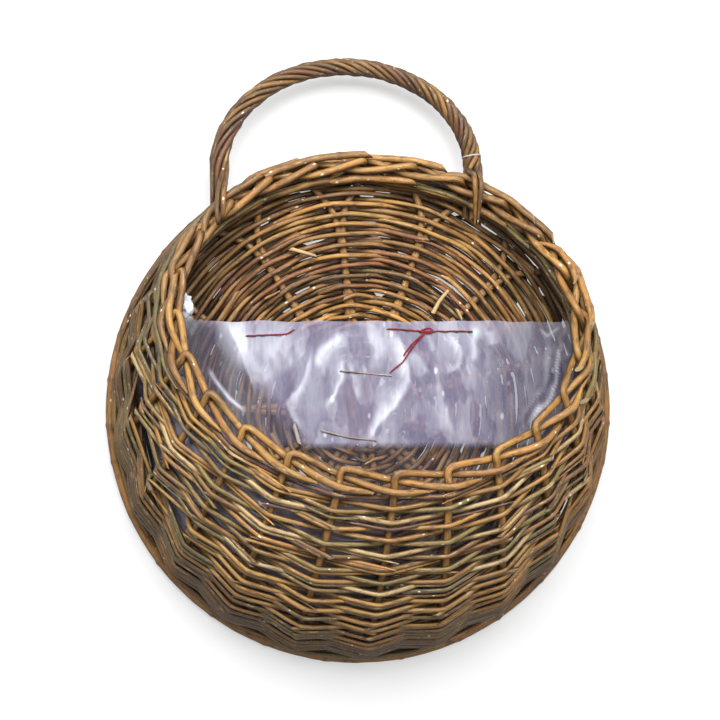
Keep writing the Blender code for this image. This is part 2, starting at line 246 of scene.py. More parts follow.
def tipFactor(distance, total, tips):  # the rod thins towards an end that has a tip length
    factor = 1.0
    for reach, left in zip(tips, (distance, total - distance)):
        if reach and left < reach:
            factor *= rods["tipLeast"] + (1 - rods["tipLeast"]) * math.sqrt(max(left, 0) / reach)
    return factor


def addRod(bm, points, radius, colour, rng, taper=0.1, wander=1.0, closed=False, tips=(0, 0)):
    run = evenRun(points, rods["step"])
    if not closed:
        reach = rods["cutReach"] * radius
        run = [p for p in run[1:-1] if (p - run[0]).length > reach and (p - run[-1]).length > reach]
        run = [points[0].copy()] + run + [points[-1].copy()]
    distances = [0.0]
    for a, b in zip(run, run[1:]):
        distances.append(distances[-1] + (b - a).length)
    total = distances[-1]
    seed = rng.uniform(0, 1000)
    buds = budPlaces(total, rng)
    factors, budMasks, shifted = [], [], []
    for point, distance in zip(run, distances):
        near = min((abs(distance - bud) for bud in buds), default=1.0)
        mask = math.exp(-((near / rods["budLength"]) ** 2))
        uneven = noise.noise(Vector((distance * rods["unevennessPerMetre"], seed, 0)))
        factors.append(
            (1 - taper * distance / total) * (1 + rods["budSwell"] * mask + rods["unevenness"] * uneven)
            * tipFactor(distance, total, tips)
        )
        budMasks.append(mask)
        drift = noise.noise_vector(Vector((distance * rods["wanderPerMetre"], seed, seed)))
        spot = point + drift * rods["wander"] * wander
        thick = radius * factors[-1]
        spot.y = min(max(spot.y, cadLow.y + thick), cadHigh.y - thick)
        shifted.append(spot)
    if closed:
        shifted.pop()
        factors.pop()
    curve = bpy.data.curves.new("rod", "CURVE")
    curve.dimensions = "3D"
    curve.twist_mode = "MINIMUM"
    curve.bevel_depth = radius
    curve.bevel_resolution = rods["resolution"]
    curve.use_fill_caps = not closed
    spline = curve.splines.new("POLY")
    spline.points.add(len(shifted) - 1)
    spline.use_cyclic_u = closed
    for place, point, factor in zip(spline.points, shifted, factors):
        place.co = (*point, 1.0)
        place.radius = factor
    thing = bpy.data.objects.new("rod", curve)
    mesh = bpy.data.meshes.new_from_object(thing)
    if not closed:
        slantCut(mesh, shifted[0], shifted[1], radius)
        slantCut(mesh, shifted[-1], shifted[-2], radius)
    measureRod(mesh, distances, radius, colour, budMasks, rng)
    bm.from_mesh(mesh)
    bpy.data.objects.remove(thing)
    bpy.data.curves.remove(curve)
    bpy.data.meshes.remove(mesh)


def slantCut(mesh, end, inner, radius):  # turns a cut end outwards, away from the basket's middle
    away = (end - inner).normalized()
    outward = (end - Vector(rods["cutMiddle"])).normalized()
    for vert in mesh.vertices:
        offset = vert.co - end
        inRing = offset.length < radius * rods["cutRing"]
        if inRing and abs(offset.dot(away)) < radius * rods["cutFlat"]:
            vert.co -= away * offset.dot(outward) * rods["cutSlope"]


def measureRod(mesh, distances, radius, colour, budMasks, rng):  # UVs in metres and the rod's colour
    layer = mesh.uv_layers.active
    values = np.zeros(len(mesh.loops) * 2, np.float32)
    layer.uv.foreach_get("vector", values)
    values = values.reshape(-1, 2)
    places = values[:, 0] * (len(distances) - 1)
    numbers = np.arange(len(distances))
    start = rng.uniform(0, rods["barkRun"])
    values[:, 0] = start + np.interp(places, numbers, distances)
    values[:, 1] *= math.tau * radius
    loopVerts = np.zeros(len(mesh.loops), np.int32)
    mesh.loops.foreach_get("vertex_index", loopVerts)
    tints = np.ones((len(mesh.vertices), 4), np.float32)
    tints[:, :3] = colour
    tints[loopVerts, 3] = np.interp(places, numbers, budMasks)
    for face in mesh.polygons:
        if face.loop_total == 3:  # the cut ends are marked by a place below zero
            cut = slice(face.loop_start, face.loop_start + face.loop_total)
            values[cut, 0] = -1.0
            tints[loopVerts[cut], 3] = 0.0
    layer.uv.foreach_set("vector", values.ravel())
    attribute = mesh.attributes.new("tint", "FLOAT_COLOR", "POINT")
    attribute.data.foreach_set("color", tints.ravel())


def finishRods(bm, name, material, slotName, *nodes):  # one piece from all the rods in bm
    bmesh.ops.remove_doubles(bm, verts=bm.verts, dist=rods["weld"])
    bmesh.ops.transform(bm, matrix=lift, verts=bm.verts)
    for face in bm.faces:
        face.smooth = len(face.verts) == 4
        if not face.smooth:
            for edge in face.edges:
                edge.smooth = False
    finishPiece(bm, name, material, slotName, *nodes)


def finishPiece(bm, name, material, slotName, *nodes):
    mesh = bpy.data.meshes.new(name)
    bm.to_mesh(mesh)
    bm.free()
    mesh.materials.append(material)
    piece = bpy.data.objects.new(name, mesh)
    bpy.context.collection.objects.link(piece)
    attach(piece, "root")
    if nodes:
        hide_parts(*nodes)


# Bark colours
def paint(red, green, blue):  # a screen colour, 0 to 255, as a linear one
    return tuple((part / 255) ** 2.2 for part in (red, green, blue))


def shaded(colour, light):
    return tuple(part * light for part in colour)


bark = {
    "gold": paint(198, 148, 78),
    "honey": paint(184, 132, 69),
    "brown": paint(149, 107, 58),
    "chestnut": paint(144, 92, 54),
    "rough": paint(114, 84, 50),
    "olive": paint(138, 120, 66),
    "moss": paint(112, 102, 64),
    "grey": paint(118, 104, 82),
    "plum": paint(104, 72, 60),
    "tan": paint(204, 172, 120),
    "hazy": paint(182, 166, 160),  # seen through the film
}
barkShade = (0.78, 1.14)  # each rod's own brightness, drawn between these
barkWarmth = (-0.05, 0.04)
barkMarks = {
    "darkPatch": paint(70, 48, 34),
    "darkPatchShare": 0.75,
    "scuff": paint(214, 182, 130),
    "lenticel": paint(214, 188, 146),
    "lenticelShare": 0.55,
    "speck": paint(244, 236, 214),
    "bud": paint(70, 50, 38),
    "budShare": 0.45,
    # painted shade: the near-black colour and how much of it the shade mask mixes in
    "paintedShade": paint(34, 24, 18),
    "paintedShadeShare": 0.78,
    "cutEnd": paint(232, 204, 158),
    "relief": 0.00025,
}
shadeMaskLook = {  # painted shade: where the bark is painted darker, as between the rods, on their undersides and near the wall
    "bowlMiddle": 0.09,  # depth behind the wall of the point that the rods face away from
    "facing": (0.12, 0.72),
    "sideMiddle": 0.010,
    "side": (0.050, 0.115),
    "under": (-0.85, -0.15),
    "underShare": 0.60,
}


def pickBark(rng, shares):  # shares is a dictionary of bark name to weight
    name = rng.choices(list(shares), weights=list(shares.values()))[0]
    colour = Vector(bark[name])
    shade = rng.uniform(*barkShade)
    warm = rng.uniform(*barkWarmth)
    return (colour.x * shade * (1 + warm), colour.y * shade, colour.z * shade * (1 - warm))


# Shader helpers and the willow bark
def newNode(tree, kind, **settings):
    node = tree.nodes.new(kind)
    for key, value in settings.items():
        setattr(node, key, value)
    return node


def mathNode(tree, operation, first, second=None, third=None, clamp=False):
    node = newNode(tree, "ShaderNodeMath", operation=operation, use_clamp=clamp)
    for socket, value in zip(node.inputs, (first, second, third)):
        if value is None:
            continue
        if isinstance(value, (int, float)):
            socket.default_value = value
        else:
            tree.links.new(value, socket)
    return node.outputs[0]


def mixColour(tree, factor, first, second, blend="MIX"):
    node = newNode(tree, "ShaderNodeMix", data_type="RGBA", blend_type=blend)
    for name, value in (("Factor_Float", factor), ("A_Color", first), ("B_Color", second)):
        socket = next(s for s in node.inputs if s.identifier == name)
        if isinstance(value, (int, float)):
            socket.default_value = value
        elif isinstance(value, tuple):
            socket.default_value = (*value, 1.0)[:4]
        else:
            tree.links.new(value, socket)
    return next(s for s in node.outputs if s.identifier == "Result_Color")


def ramp(tree, value, low, high):  # 0 below low, 1 above high
    node = newNode(tree, "ShaderNodeMapRange", interpolation_type="SMOOTHSTEP")
    tree.links.new(value, node.inputs["Value"])
    node.inputs["From Min"].default_value = low
    node.inputs["From Max"].default_value = high
    return node.outputs["Result"]


def scaled(tree, vector, scale, move=(0, 0, 0)):
    node = newNode(tree, "ShaderNodeMapping")
    tree.links.new(vector, node.inputs["Vector"])
    node.inputs["Scale"].default_value = scale
    node.inputs["Location"].default_value = move
    return node.outputs["Vector"]


def noiseValue(tree, vector, scale=1.0, detail=2.0, rough=0.5):
    node = newNode(tree, "ShaderNodeTexNoise")
    tree.links.new(vector, node.inputs["Vector"])
    node.inputs["Scale"].default_value = scale
    node.inputs["Detail"].default_value = detail
    node.inputs["Roughness"].default_value = rough
    return node.outputs["Fac"]


def buildBarkGroup():  # colour, sheen and relief of willow bark, from UVs in metres, with painted shade darkening the colour
    tree = bpy.data.node_groups.new("willow bark", "ShaderNodeTree")
    for name, kind in (("Place", "NodeSocketVector"), ("Tint", "NodeSocketColor"), ("Bud", "NodeSocketFloat"),
                       ("Second Tint", "NodeSocketColor"), ("Second Share", "NodeSocketFloat"),
                       ("Scuff", "NodeSocketFloat"), ("Painted Shade", "NodeSocketFloat")):
        tree.interface.new_socket(name, in_out="INPUT", socket_type=kind)
    for name, kind in (("Color", "NodeSocketColor"), ("Roughness", "NodeSocketFloat"),
                       ("Height", "NodeSocketFloat")):
        tree.interface.new_socket(name, in_out="OUTPUT", socket_type=kind)
    given = newNode(tree, "NodeGroupInput").outputs
    result = newNode(tree, "NodeGroupOutput").inputs
    place = given["Place"]
    drift = noiseValue(tree, scaled(tree, place, (16, 90, 1)), detail=3)
    second = mathNode(tree, "MULTIPLY", ramp(tree, drift, 0.42, 0.66), given["Second Share"])
    colour = mixColour(tree, second, given["Tint"], given["Second Tint"])
    fibres = noiseValue(tree, scaled(tree, place, (70, 2600, 1)), detail=3, rough=0.6)
    streaks = mathNode(tree, "MULTIPLY_ADD", fibres, 1.7, 0.08)
    colour = mixColour(tree, 1.0, colour, streaks, "MULTIPLY")
    patches = noiseValue(tree, scaled(tree, place, (120, 420, 1)), detail=4, rough=0.65)
    darkPatch = mathNode(tree, "MULTIPLY", ramp(tree, patches, 0.50, 0.66), barkMarks["darkPatchShare"])
    colour = mixColour(tree, darkPatch, colour, barkMarks["darkPatch"])
    scuffs = noiseValue(tree, scaled(tree, place, (95, 500, 1), (7, 3, 0)), detail=4, rough=0.7)
    scuffMask = mathNode(tree, "MULTIPLY", ramp(tree, scuffs, 0.57, 0.66), given["Scuff"])
    colour = mixColour(tree, scuffMask, colour, barkMarks["scuff"])
    dots = newNode(tree, "ShaderNodeTexVoronoi")
    tree.links.new(scaled(tree, place, (330, 460, 1)), dots.inputs["Vector"])
    dots.inputs["Scale"].default_value = 1.0
    chosen = newNode(tree, "ShaderNodeSeparateColor")
    tree.links.new(dots.outputs["Color"], chosen.inputs["Color"])
    small = mathNode(tree, "SUBTRACT", 1.0, ramp(tree, dots.outputs["Distance"], 0.10, 0.22))
    lenticel = mathNode(tree, "MULTIPLY", small, ramp(tree, chosen.outputs["Red"], 0.60, 0.66))
    lenticelMask = mathNode(tree, "MULTIPLY", lenticel, barkMarks["lenticelShare"])
    colour = mixColour(tree, lenticelMask, colour, barkMarks["lenticel"])
    broad = mathNode(tree, "SUBTRACT", 1.0, ramp(tree, dots.outputs["Distance"], 0.22, 0.36))
    rare = mathNode(tree, "GREATER_THAN", chosen.outputs["Green"], 0.975)
    colour = mixColour(tree, mathNode(tree, "MULTIPLY", broad, rare), colour, barkMarks["speck"])
    budDark = mathNode(tree, "MULTIPLY", given["Bud"], barkMarks["budShare"])
    colour = mixColour(tree, budDark, colour, barkMarks["bud"])
    # painted shade: the colour is darkened towards a near-black by the shade mask
    paintedShade = mathNode(tree, "MULTIPLY", given["Painted Shade"], barkMarks["paintedShadeShare"])
    colour = mixColour(tree, paintedShade, colour, barkMarks["paintedShade"])
    lengthwise = newNode(tree, "ShaderNodeSeparateXYZ")
    tree.links.new(place, lengthwise.inputs["Vector"])
    cut = mathNode(tree, "LESS_THAN", lengthwise.outputs["X"], -0.5)
    colour = mixColour(tree, cut, colour, barkMarks["cutEnd"])
    tree.links.new(colour, result["Color"])
    rough = mathNode(tree, "MULTIPLY_ADD", patches, 0.34, 0.30)
    rough = mathNode(tree, "MULTIPLY_ADD", cut, 0.3, rough, clamp=True)
    tree.links.new(rough, result["Roughness"])
    relief = mathNode(tree, "MULTIPLY_ADD", fibres, 0.6, mathNode(tree, "MULTIPLY", patches, 0.8))
    relief = mathNode(tree, "MULTIPLY_ADD", lenticel, 0.5, relief)
    tree.links.new(relief, result["Height"])
    return tree


barkGroup = buildBarkGroup()


# bulge bends what counts as outward from straight off the wall to round the bowl. The rest is painted shade:
# the side share darkens the basket's sides, and rear holds the depths where bark starts to darken towards
# the wall and is darkest, and how much
def barkMaterial(name, secondTint, secondShare, scuff, bulge=0.0, sidePaintedShade=0.0, rear=(0.1, 0.0, 0.0)):
    material = bpy.data.materials.new(name)
    material.use_nodes = True
    tree = material.node_tree
    shader = tree.nodes["Principled BSDF"]
    group = newNode(tree, "ShaderNodeGroup", node_tree=barkGroup)
    place = newNode(tree, "ShaderNodeUVMap", uv_map="UVMap")
    tint = newNode(tree, "ShaderNodeAttribute", attribute_name="tint")
    tree.links.new(place.outputs["UV"], group.inputs["Place"])
    tree.links.new(tint.outputs["Color"], group.inputs["Tint"])
    tree.links.new(tint.outputs["Alpha"], group.inputs["Bud"])
    group.inputs["Second Tint"].default_value = (*secondTint, 1)
    group.inputs["Second Share"].default_value = secondShare
    group.inputs["Scuff"].default_value = scuff
    # painted shade: bark is darkened where a rod faces sideways, towards the basket's sides, near the wall
    # and on its undersides
    shape = newNode(tree, "ShaderNodeNewGeometry")
    facing = newNode(tree, "ShaderNodeVectorMath", operation="DOT_PRODUCT")
    tree.links.new(shape.outputs["Normal"], facing.inputs[0])
    outward = newNode(tree, "ShaderNodeVectorMath", operation="NORMALIZE")
    away = newNode(tree, "ShaderNodeVectorMath", operation="MULTIPLY")
    away.inputs[1].default_value = (bulge, 1.0, bulge)
    middle = newNode(tree, "ShaderNodeVectorMath", operation="SUBTRACT")
    middle.inputs[1].default_value = (0.0, shadeMaskLook["bowlMiddle"], rimHeight)
    tree.links.new(shape.outputs["Position"], middle.inputs[0])
    tree.links.new(middle.outputs["Vector"], away.inputs[0])
    tree.links.new(away.outputs["Vector"], outward.inputs[0])
    tree.links.new(outward.outputs["Vector"], facing.inputs[1])
    level = mathNode(tree, "ABSOLUTE", facing.outputs["Value"])
    shadeMask = mathNode(tree, "SUBTRACT", 1.0, ramp(tree, level, *shadeMaskLook["facing"]))
    parts = newNode(tree, "ShaderNodeSeparateXYZ")
    tree.links.new(shape.outputs["Position"], parts.inputs["Vector"])
    aside = mathNode(tree, "SUBTRACT", parts.outputs["X"], shadeMaskLook["sideMiddle"])
    aside = ramp(tree, mathNode(tree, "ABSOLUTE", aside), *shadeMaskLook["side"])
    shadeMask = mathNode(tree, "MULTIPLY_ADD", aside, sidePaintedShade, shadeMask)
    near = ramp(tree, parts.outputs["Y"], -rear[0], -rear[1])
    shadeMask = mathNode(tree, "MULTIPLY_ADD", near, rear[2], shadeMask)
    tilt = newNode(tree, "ShaderNodeSeparateXYZ")
    tree.links.new(shape.outputs["Normal"], tilt.inputs["Vector"])
    under = mathNode(tree, "SUBTRACT", 1.0, ramp(tree, tilt.outputs["Z"], *shadeMaskLook["under"]))
    shadeMask = mathNode(tree, "MULTIPLY_ADD", under, shadeMaskLook["underShare"], shadeMask, clamp=True)
    tree.links.new(shadeMask, group.inputs["Painted Shade"])
    bump = newNode(tree, "ShaderNodeBump")
    bump.inputs["Distance"].default_value = barkMarks["relief"]
    bump.inputs["Strength"].default_value = 1.0
    tree.links.new(group.outputs["Height"], bump.inputs["Height"])
    tree.links.new(group.outputs["Color"], shader.inputs["Base Color"])
    tree.links.new(group.outputs["Roughness"], shader.inputs["Roughness"])
    tree.links.new(bump.outputs["Normal"], shader.inputs["Normal"])
    return material


rimBark = barkMaterial("rim willow", bark["rough"], 0.7, 0.4, sidePaintedShade=0.38)
stakeBark = barkMaterial("stake willow", bark["rough"], 0.55, 0.6, sidePaintedShade=0.12)
backBark = barkMaterial("back willow", bark["rough"], 0.6, 0.5, sidePaintedShade=0.68, rear=(0.0085, 0.0020, 0.85))
frontBark = barkMaterial("front willow", bark["brown"], 0.7, 0.75, 0.8, 0.06, (0.040, 0.008, 0.55))
handleBark = barkMaterial("handle willow", bark["rough"], 0.75, 0.5)


# Rim hoop, and the thin rods that lie along it
rim = {
    "steps": 96,
    "hoopShare": 0.90,  # of the solid hoop's radius, so that the uneven bark stays inside it
    "sideRadius": 0.0015,
    "sway": 0.0004,
    "innerRings": [(0.0066, 0.0034), (0.0082, 0.0046), (0.0098, 0.0064)],  # distance in and depth
    "ringPieces": 4,
    "ringSteps": 20,
    "ringReach": 1.2,  # above 1 a ring's pieces overlap
    "ringStart": 0.4,
    "ringPaintedShade": 0.22,
    "ringBarks": {"rough": 3, "plum": 2, "brown": 1},
    "sideSteps": 16,
    "sideBarks": {"olive": 2, "brown": 3, "honey": 1, "rough": 2},
    "sideRods": [  # start and end angle in degrees, distance in from the edge and depth
        (-176, -112, 0.0024, 0.0078),
        (-160, -86, 0.0048, 0.0086),
        (-148, -104, 0.0036, 0.0098),
        (-112, -60, 0.0058, 0.0086),
        (-50, -8, 0.0052, 0.0078),
        (-24, 30, 0.0046, 0.0078),
        (20, 78, 0.0046, 0.0078),
        (58, 128, 0.0062, 0.0090),
        (92, 152, 0.0046, 0.0076),
    ],
}


def swayingArc(start, end, steps, inset, depth, rng):
    points = []
    for step in range(steps + 1):
        turn = start + (end - start) * step / steps
        sway = rng.uniform(-rim["sway"], rim["sway"])
        points.append(around(turn, outerRadius - inset + sway, -depth))
    return points


def buildRim():
    rng = random.Random(11)
    bm = bmesh.new()
    radius = outerRadius - hoopRadius
    points = []
    for step in range(rim["steps"] + 1):
        turn = math.tau * step / rim["steps"]
        points.append(around(turn, radius, -hoopRadius))
    hoopColour = pickBark(rng, {"honey": 1})
    addRod(bm, points, hoopRadius * rim["hoopShare"], hoopColour, rng, 0.0, 0.4, closed=True)
    for inset, depth in rim["innerRings"]:
        for number in range(rim["ringPieces"]):
            start = math.tau * (number + rng.uniform(0, rim["ringStart"])) / rim["ringPieces"]
            end = start + math.tau * rim["ringReach"] / rim["ringPieces"]
            points = swayingArc(start, end, rim["ringSteps"], inset, depth, rng)
            # the inner rings are painted very dark, as painted shade in the pocket between the hoop and the
            # weave
            colour = shaded(pickBark(rng, rim["ringBarks"]), rim["ringPaintedShade"])
            addRod(bm, smoothRun(points), rim["sideRadius"], colour, rng, 0.2, tips=(0.02, 0.02))
    for start, end, inset, depth in rim["sideRods"]:
        start, end = math.radians(start), math.radians(end)
        points = swayingArc(start, end, rim["sideSteps"], inset, depth, rng)
        colour = pickBark(rng, rim["sideBarks"])
        addRod(bm, smoothRun(points), rim["sideRadius"], colour, rng, 0.3, tips=(0.02, 0.03))
    finishRods(bm, "rimHoop", rimBark, "rim_willow", "rim_hoop")


buildRim()
print("rim made")


# Stakes, from the crossing in the back to the border that their ends make
back = {
    "innerRadius": 0.034,
    "firstRowRadius": 0.0205,
    "lastRowInset": 0.0105,
    "rowPitch": 0.0030,
    "weaverRadius": 0.00164,
    "rowJitter": 0.00055,
    "gapJitter": 0.00080,
    "fillRows": 40,
    "fillRadius": 0.0013,
    "fillDepth": 0.0019,
    "fillLength": (0.022, 0.075),
    "fillGap": (0.005, 0.012),
    "fillPaintedShade": 0.42,
    "fillStep": 0.006,
    "pairGapInner": 0.0005,
    "pairGapOuter": 0.0030,
    "pairOpenInset": 0.0320,
    "singleInset": 0.0215,
    "fanShare": 0.5,
    "spokeFootInset": 0.0110,
    "crossMargin": 0.0020,
}
rearLayerY = -(bowl["stakeRadius"] + bowl["clearance"])
frontLayerY = rearLayerY - stickPitch


def isRearLayer(index):
    return abs(math.sin(evenAngle(index))) > math.sqrt(0.5)


def crossStep(index):
    quarter = math.tau / 4
    place = (evenAngle(index) + quarter / 2) % quarter - quarter / 2
    return round(place / (math.tau / stakeCount) - 0.5) + 0.5


def pairPlace(index, radius):
    pair = ((index + 1) // 2) % pairTotal
    angle = spread(turned(math.tau * pair / pairTotal - math.pi))
    openRadius = outerRadius - back["pairOpenInset"]
    share = (radius - back["innerRadius"]) / (openRadius - back["innerRadius"])
    gap = back["pairGapInner"] + (back["pairGapOuter"] - back["pairGapInner"]) * share
    half = bowl["stakeRadius"] + gap / 2
    side = 1 if index % 2 == 0 else -1
    sideways = Vector((math.cos(angle), 0.0, math.sin(angle)))
    return around(angle, radius, frontLayerY) + sideways * half * side


def backPath(index):
    stagger = back["fanShare"] * ((rodTotal - 1) / 2 - abs(crossStep(index)))
    reach = (rodTotal / 2 + stagger) * stickPitch + back["crossMargin"]
    quarter = turned(round(evenAngle(index) / (math.tau / 4)) * math.tau / 4)
    sideways = Vector((math.cos(quarter), 0.0, math.sin(quarter)))
    layer = rearLayerY if isRearLayer(index) else frontLayerY
    return [
        around(quarter, reach, layer) + sideways * crossStep(index) * stickPitch,
        pairPlace(index, back["innerRadius"]),
        pairPlace(index, outerRadius - back["pairOpenInset"]),
        around(rimAngle(index), outerRadius - back["spokeFootInset"], frontLayerY),
    ]


backPaths = [backPath(index) for index in range(stakeCount)]

border = {
    "endShare": 0.62,
    "endOffset": 0.0026,
    "endDrop": 0.0020,
    "turnReach": 0.0032,
    "radius": 0.0022,
    "tipLength": 0.018,
    "barks": {"gold": 3, "honey": 4, "brown": 2},
}


def mouthRun(index):
    ahead = bowlPaths[(index + 1) % stakeCount][-1]
    behind = bowlPaths[(index - 1) % stakeCount][-1]
    return (ahead - behind).normalized()


def slant(index):
    path = bowlPaths[index % stakeCount]
    return mouthRun(index).cross((path[-1] - path[-2]).normalized()).length


def borderPoint(index, outward, drop):
    index %= stakeCount
    place, rise = along(bowlPaths[index], bowlLengths[index] - drop / slant(index))
    return place + mouthRun(index).cross(rise).normalized() * outward


def borderPath(index):
    first = borderPoint(index + 1, -stickPitch, stickPitch)
    second = borderPoint(index + 2, stickPitch, 2 * stickPitch)
    drop = 2 * stickPitch + border["endDrop"]
    near = borderPoint(index + 2, border["endOffset"], drop)
    far = borderPoint(index + 3, border["endOffset"], drop)
    return [first, second, near.lerp(far, border["endShare"])]


def stakePath(index):
    angle = rimAngle(index)
    corner = cornerPoint(angle)
    radius = math.hypot(corner.x, corner.z)
    bend = around(angle, radius + bowl["cornerSwell"], corner.y - bowl["cornerDrop"])
    return backPaths[index] + [corner, bend] + bowlPaths[index] + borderPath(index)


def opposite(index):
    if isRearLayer(index):
        return stakeCount - 1 - index
    return (pairTotal - 1 - index) % stakeCount


def buildStakes():
    rng = random.Random(23)
    done = set()
    number = 0
    for index in range(stakeCount):
        if index in done:
            continue
        other = opposite(index)
        done.update((index, other))
        number += 1
        bm = bmesh.new()
        points = list(reversed(stakePath(index))) + stakePath(other)
        run = smoothRun(points, turnReach=border["turnReach"])
        colour = pickBark(rng, border["barks"])
        tips = (border["tipLength"], border["tipLength"])
        addRod(bm, run, border["radius"], colour, rng, 0.03, 0.6, tips=tips)
        finishRods(bm, f"stakeRod{number:02d}", stakeBark, "stake_willow", f"stake_rod_{number:02d}")


packing = {
    "searchSteps": 20,  # places tried between two stakes
    "barks": {"gold": 1, "honey": 3, "brown": 3, "olive": 1},
    "radiusShare": (0.85, 1.02),
    "tipLength": 0.02,
    "pointsPerStake": 3,
    "riseShare": 0.35,
    "startOut": -1.2,  # in stick pitches, as the next one
    "startDrop": 1.4,
    "sideBarks": {"olive": 3, "brown": 3, "honey": 2, "rough": 2, "moss": 1},
    "sideRadiusShare": (0.65, 0.85),
    "sideTipLength": 0.03,
    "sidePointsPerStake": 2,
    "sideSway": 0.15,
}
packingRods = [  # cut end and start seen from the front, then the end's drop and distance out
    ((0.0035, 0.147), (-0.073, 0.126), -0.25, 1.05),
    ((-0.034, 0.144), (-0.074, 0.118), 0.75, 1.5),
    ((-0.057, 0.132), (-0.094, 0.100), -0.1, 1.05),
    ((-0.096, 0.105), (-0.107, 0.070), 0.1, 1.2),
    ((-0.109, 0.078), (-0.103, 0.035), -0.1, 1.05),
    ((0.046, 0.140), (-0.018, 0.146), 0.75, 1.3),
    ((0.030, 0.145), (-0.040, 0.142), 1.5, -1.6),
    ((0.100, 0.115), (0.030, 0.145), -0.1, 1.05),
    ((0.110, 0.106), (0.062, 0.134), 0.9, 1.4),
    ((0.128, 0.078), (0.104, 0.112), -0.2, 1.05),
    ((0.130, 0.052), (0.097, 0.112), 0.9, 1.5),
    ((0.127, 0.020), (0.126, 0.075), 0.1, 1.1),
    ((0.085, 0.120), (0.000, 0.146), 2.2, -1.5),
    ((-0.020, 0.144), (-0.090, 0.112), 2.3, -1.5),
]


def mouthBand(place, outward, drop):  # a place under the bowl's edge, at any share of a stake
    index = math.floor(place)
    start, end = borderPoint(index, outward, drop), borderPoint(index + 1, outward, drop)
    return start.lerp(end, place - index)


def placeNear(x, z):
    steps = packing["searchSteps"]
    places = [step / steps for step in range(steps * stakeCount)]

    def distance(place):
        point = mouthBand(place, 0.0, 0.0)
        return (point.x - x) ** 2 + (point.z - z) ** 2

    return min(places, key=distance)


def packRun(end, start, drop, out):
    last, first = placeNear(*end), placeNear(*start)
    last += stakeCount * round((first - last) / stakeCount)
    count = max(5, round(abs(last - first) * packing["pointsPerStake"]))
    points = []
    for step in range(count + 1):
        share = step / count
        rising = min(share / packing["riseShare"], 1.0)
        eased = rising * rising * (3 - 2 * rising)
        outward = packing["startOut"] + (out - packing["startOut"]) * eased
        sink = (packing["startDrop"] + drop) * (1 - share) + drop * share
        points.append(mouthBand(first + (last - first) * share, outward * stickPitch, sink * stickPitch))
    return points


sideFill = [  # start and end share of a stake, drop and distance out in stick pitches
    (19.2, 27.6, 2.6, -1.5),
    (17.6, 24.4, 3.3, -1.1),
    (22.6, 29.8, 3.4, -1.4),
    (16.4, 22.0, 4.2, -1.5),
    (25.2, 30.8, 4.3, -1.2),
    (18.4, 26.0, 4.1, 0.9),
    (24.0, 30.4, 2.9, 1.3),
    (15.4, 20.6, 3.4, 1.2),
    (15.0, 19.4, 5.4, -1.3),
    (27.0, 31.0, 5.3, -1.3),
]


def fillRun(first, last, drop, out, rng):
    count = round(abs(last - first) * packing["sidePointsPerStake"])
    points = []
    for step in range(count + 1):
        sway = rng.uniform(-packing["sideSway"], packing["sideSway"])
        share = first + (last - first) * step / count
        points.append(mouthBand(share, out * stickPitch, (drop + sway) * stickPitch))
    return points


def buildPacking():
    rng = random.Random(41)
    bm = bmesh.new()
    for end, start, drop, out in packingRods:
        colour = pickBark(rng, packing["barks"])
        radius = border["radius"] * rng.uniform(*packing["radiusShare"])
        run = smoothRun(packRun(end, start, drop, out))
        addRod(bm, run, radius, colour, rng, 0.0, tips=(packing["tipLength"], 0))
    for first, last, drop, out in sideFill:
        colour = pickBark(rng, packing["sideBarks"])
        radius = border["radius"] * rng.uniform(*packing["sideRadiusShare"])
        run = smoothRun(fillRun(first, last, drop, out, rng))
        addRod(bm, run, radius, colour, rng, 0.2, tips=(0, packing["sideTipLength"]))
    finishRods(bm, "borderPacking", stakeBark, "stake_willow")


buildStakes()
buildPacking()
print("stakes and border made")


# Back weave
def atRadius(points, radius):
    for a, b in zip(points, points[1:]):
        near, far = math.hypot(a.x, a.z), math.hypot(b.x, b.z)
        if near <= radius <= far:
            return a.lerp(b, (radius - near) / (far - near))
    return points[-1].copy()


def backSide(index, radius, turnOver):
    paired = radius < outerRadius - back["singleInset"]
    count = (index + 1) // 2 % pairTotal if paired else index
    return 1 if (count + turnOver) % 2 else -1


def backSpiral(turnOver, rng):
    offset = bowl["stakeRadius"] + bowl["clearance"] + back["weaverRadius"]
    points = []
    perTurn = 2 * back["rowPitch"]
    radius = back["firstRowRadius"] + turnOver * back["rowPitch"]
    step = 0
    while radius < outerRadius - back["lastRowInset"]:
        index = step % stakeCount
        place = atRadius(backPaths[index], radius + rng.uniform(-1, 1) * back["rowJitter"])
        place.y = frontLayerY + offset * backSide(index, radius, turnOver)
        points.append(place)
        if index % 2 == 0:
            middle = (rimAngle(index) + rimAngle(index + 1)) / 2
            reach = radius + perTurn / stakeCount / 2 + rng.gauss(0, back["gapJitter"])
            points.append(around(middle, reach, frontLayerY))
        step += 1
        radius += perTurn / stakeCount
    return points


def splitRun(points, rng, shortest, longest):  # pieces that overlap by two points
    pieces, start = [], 0
    while start < len(points) - 2:
        end = min(len(points), start + rng.randint(shortest, longest))
        if len(points) - end < shortest // 2:
            end = len(points)
        pieces.append(points[start:end])
        if end == len(points):
            break
        start = end - 2
    return pieces


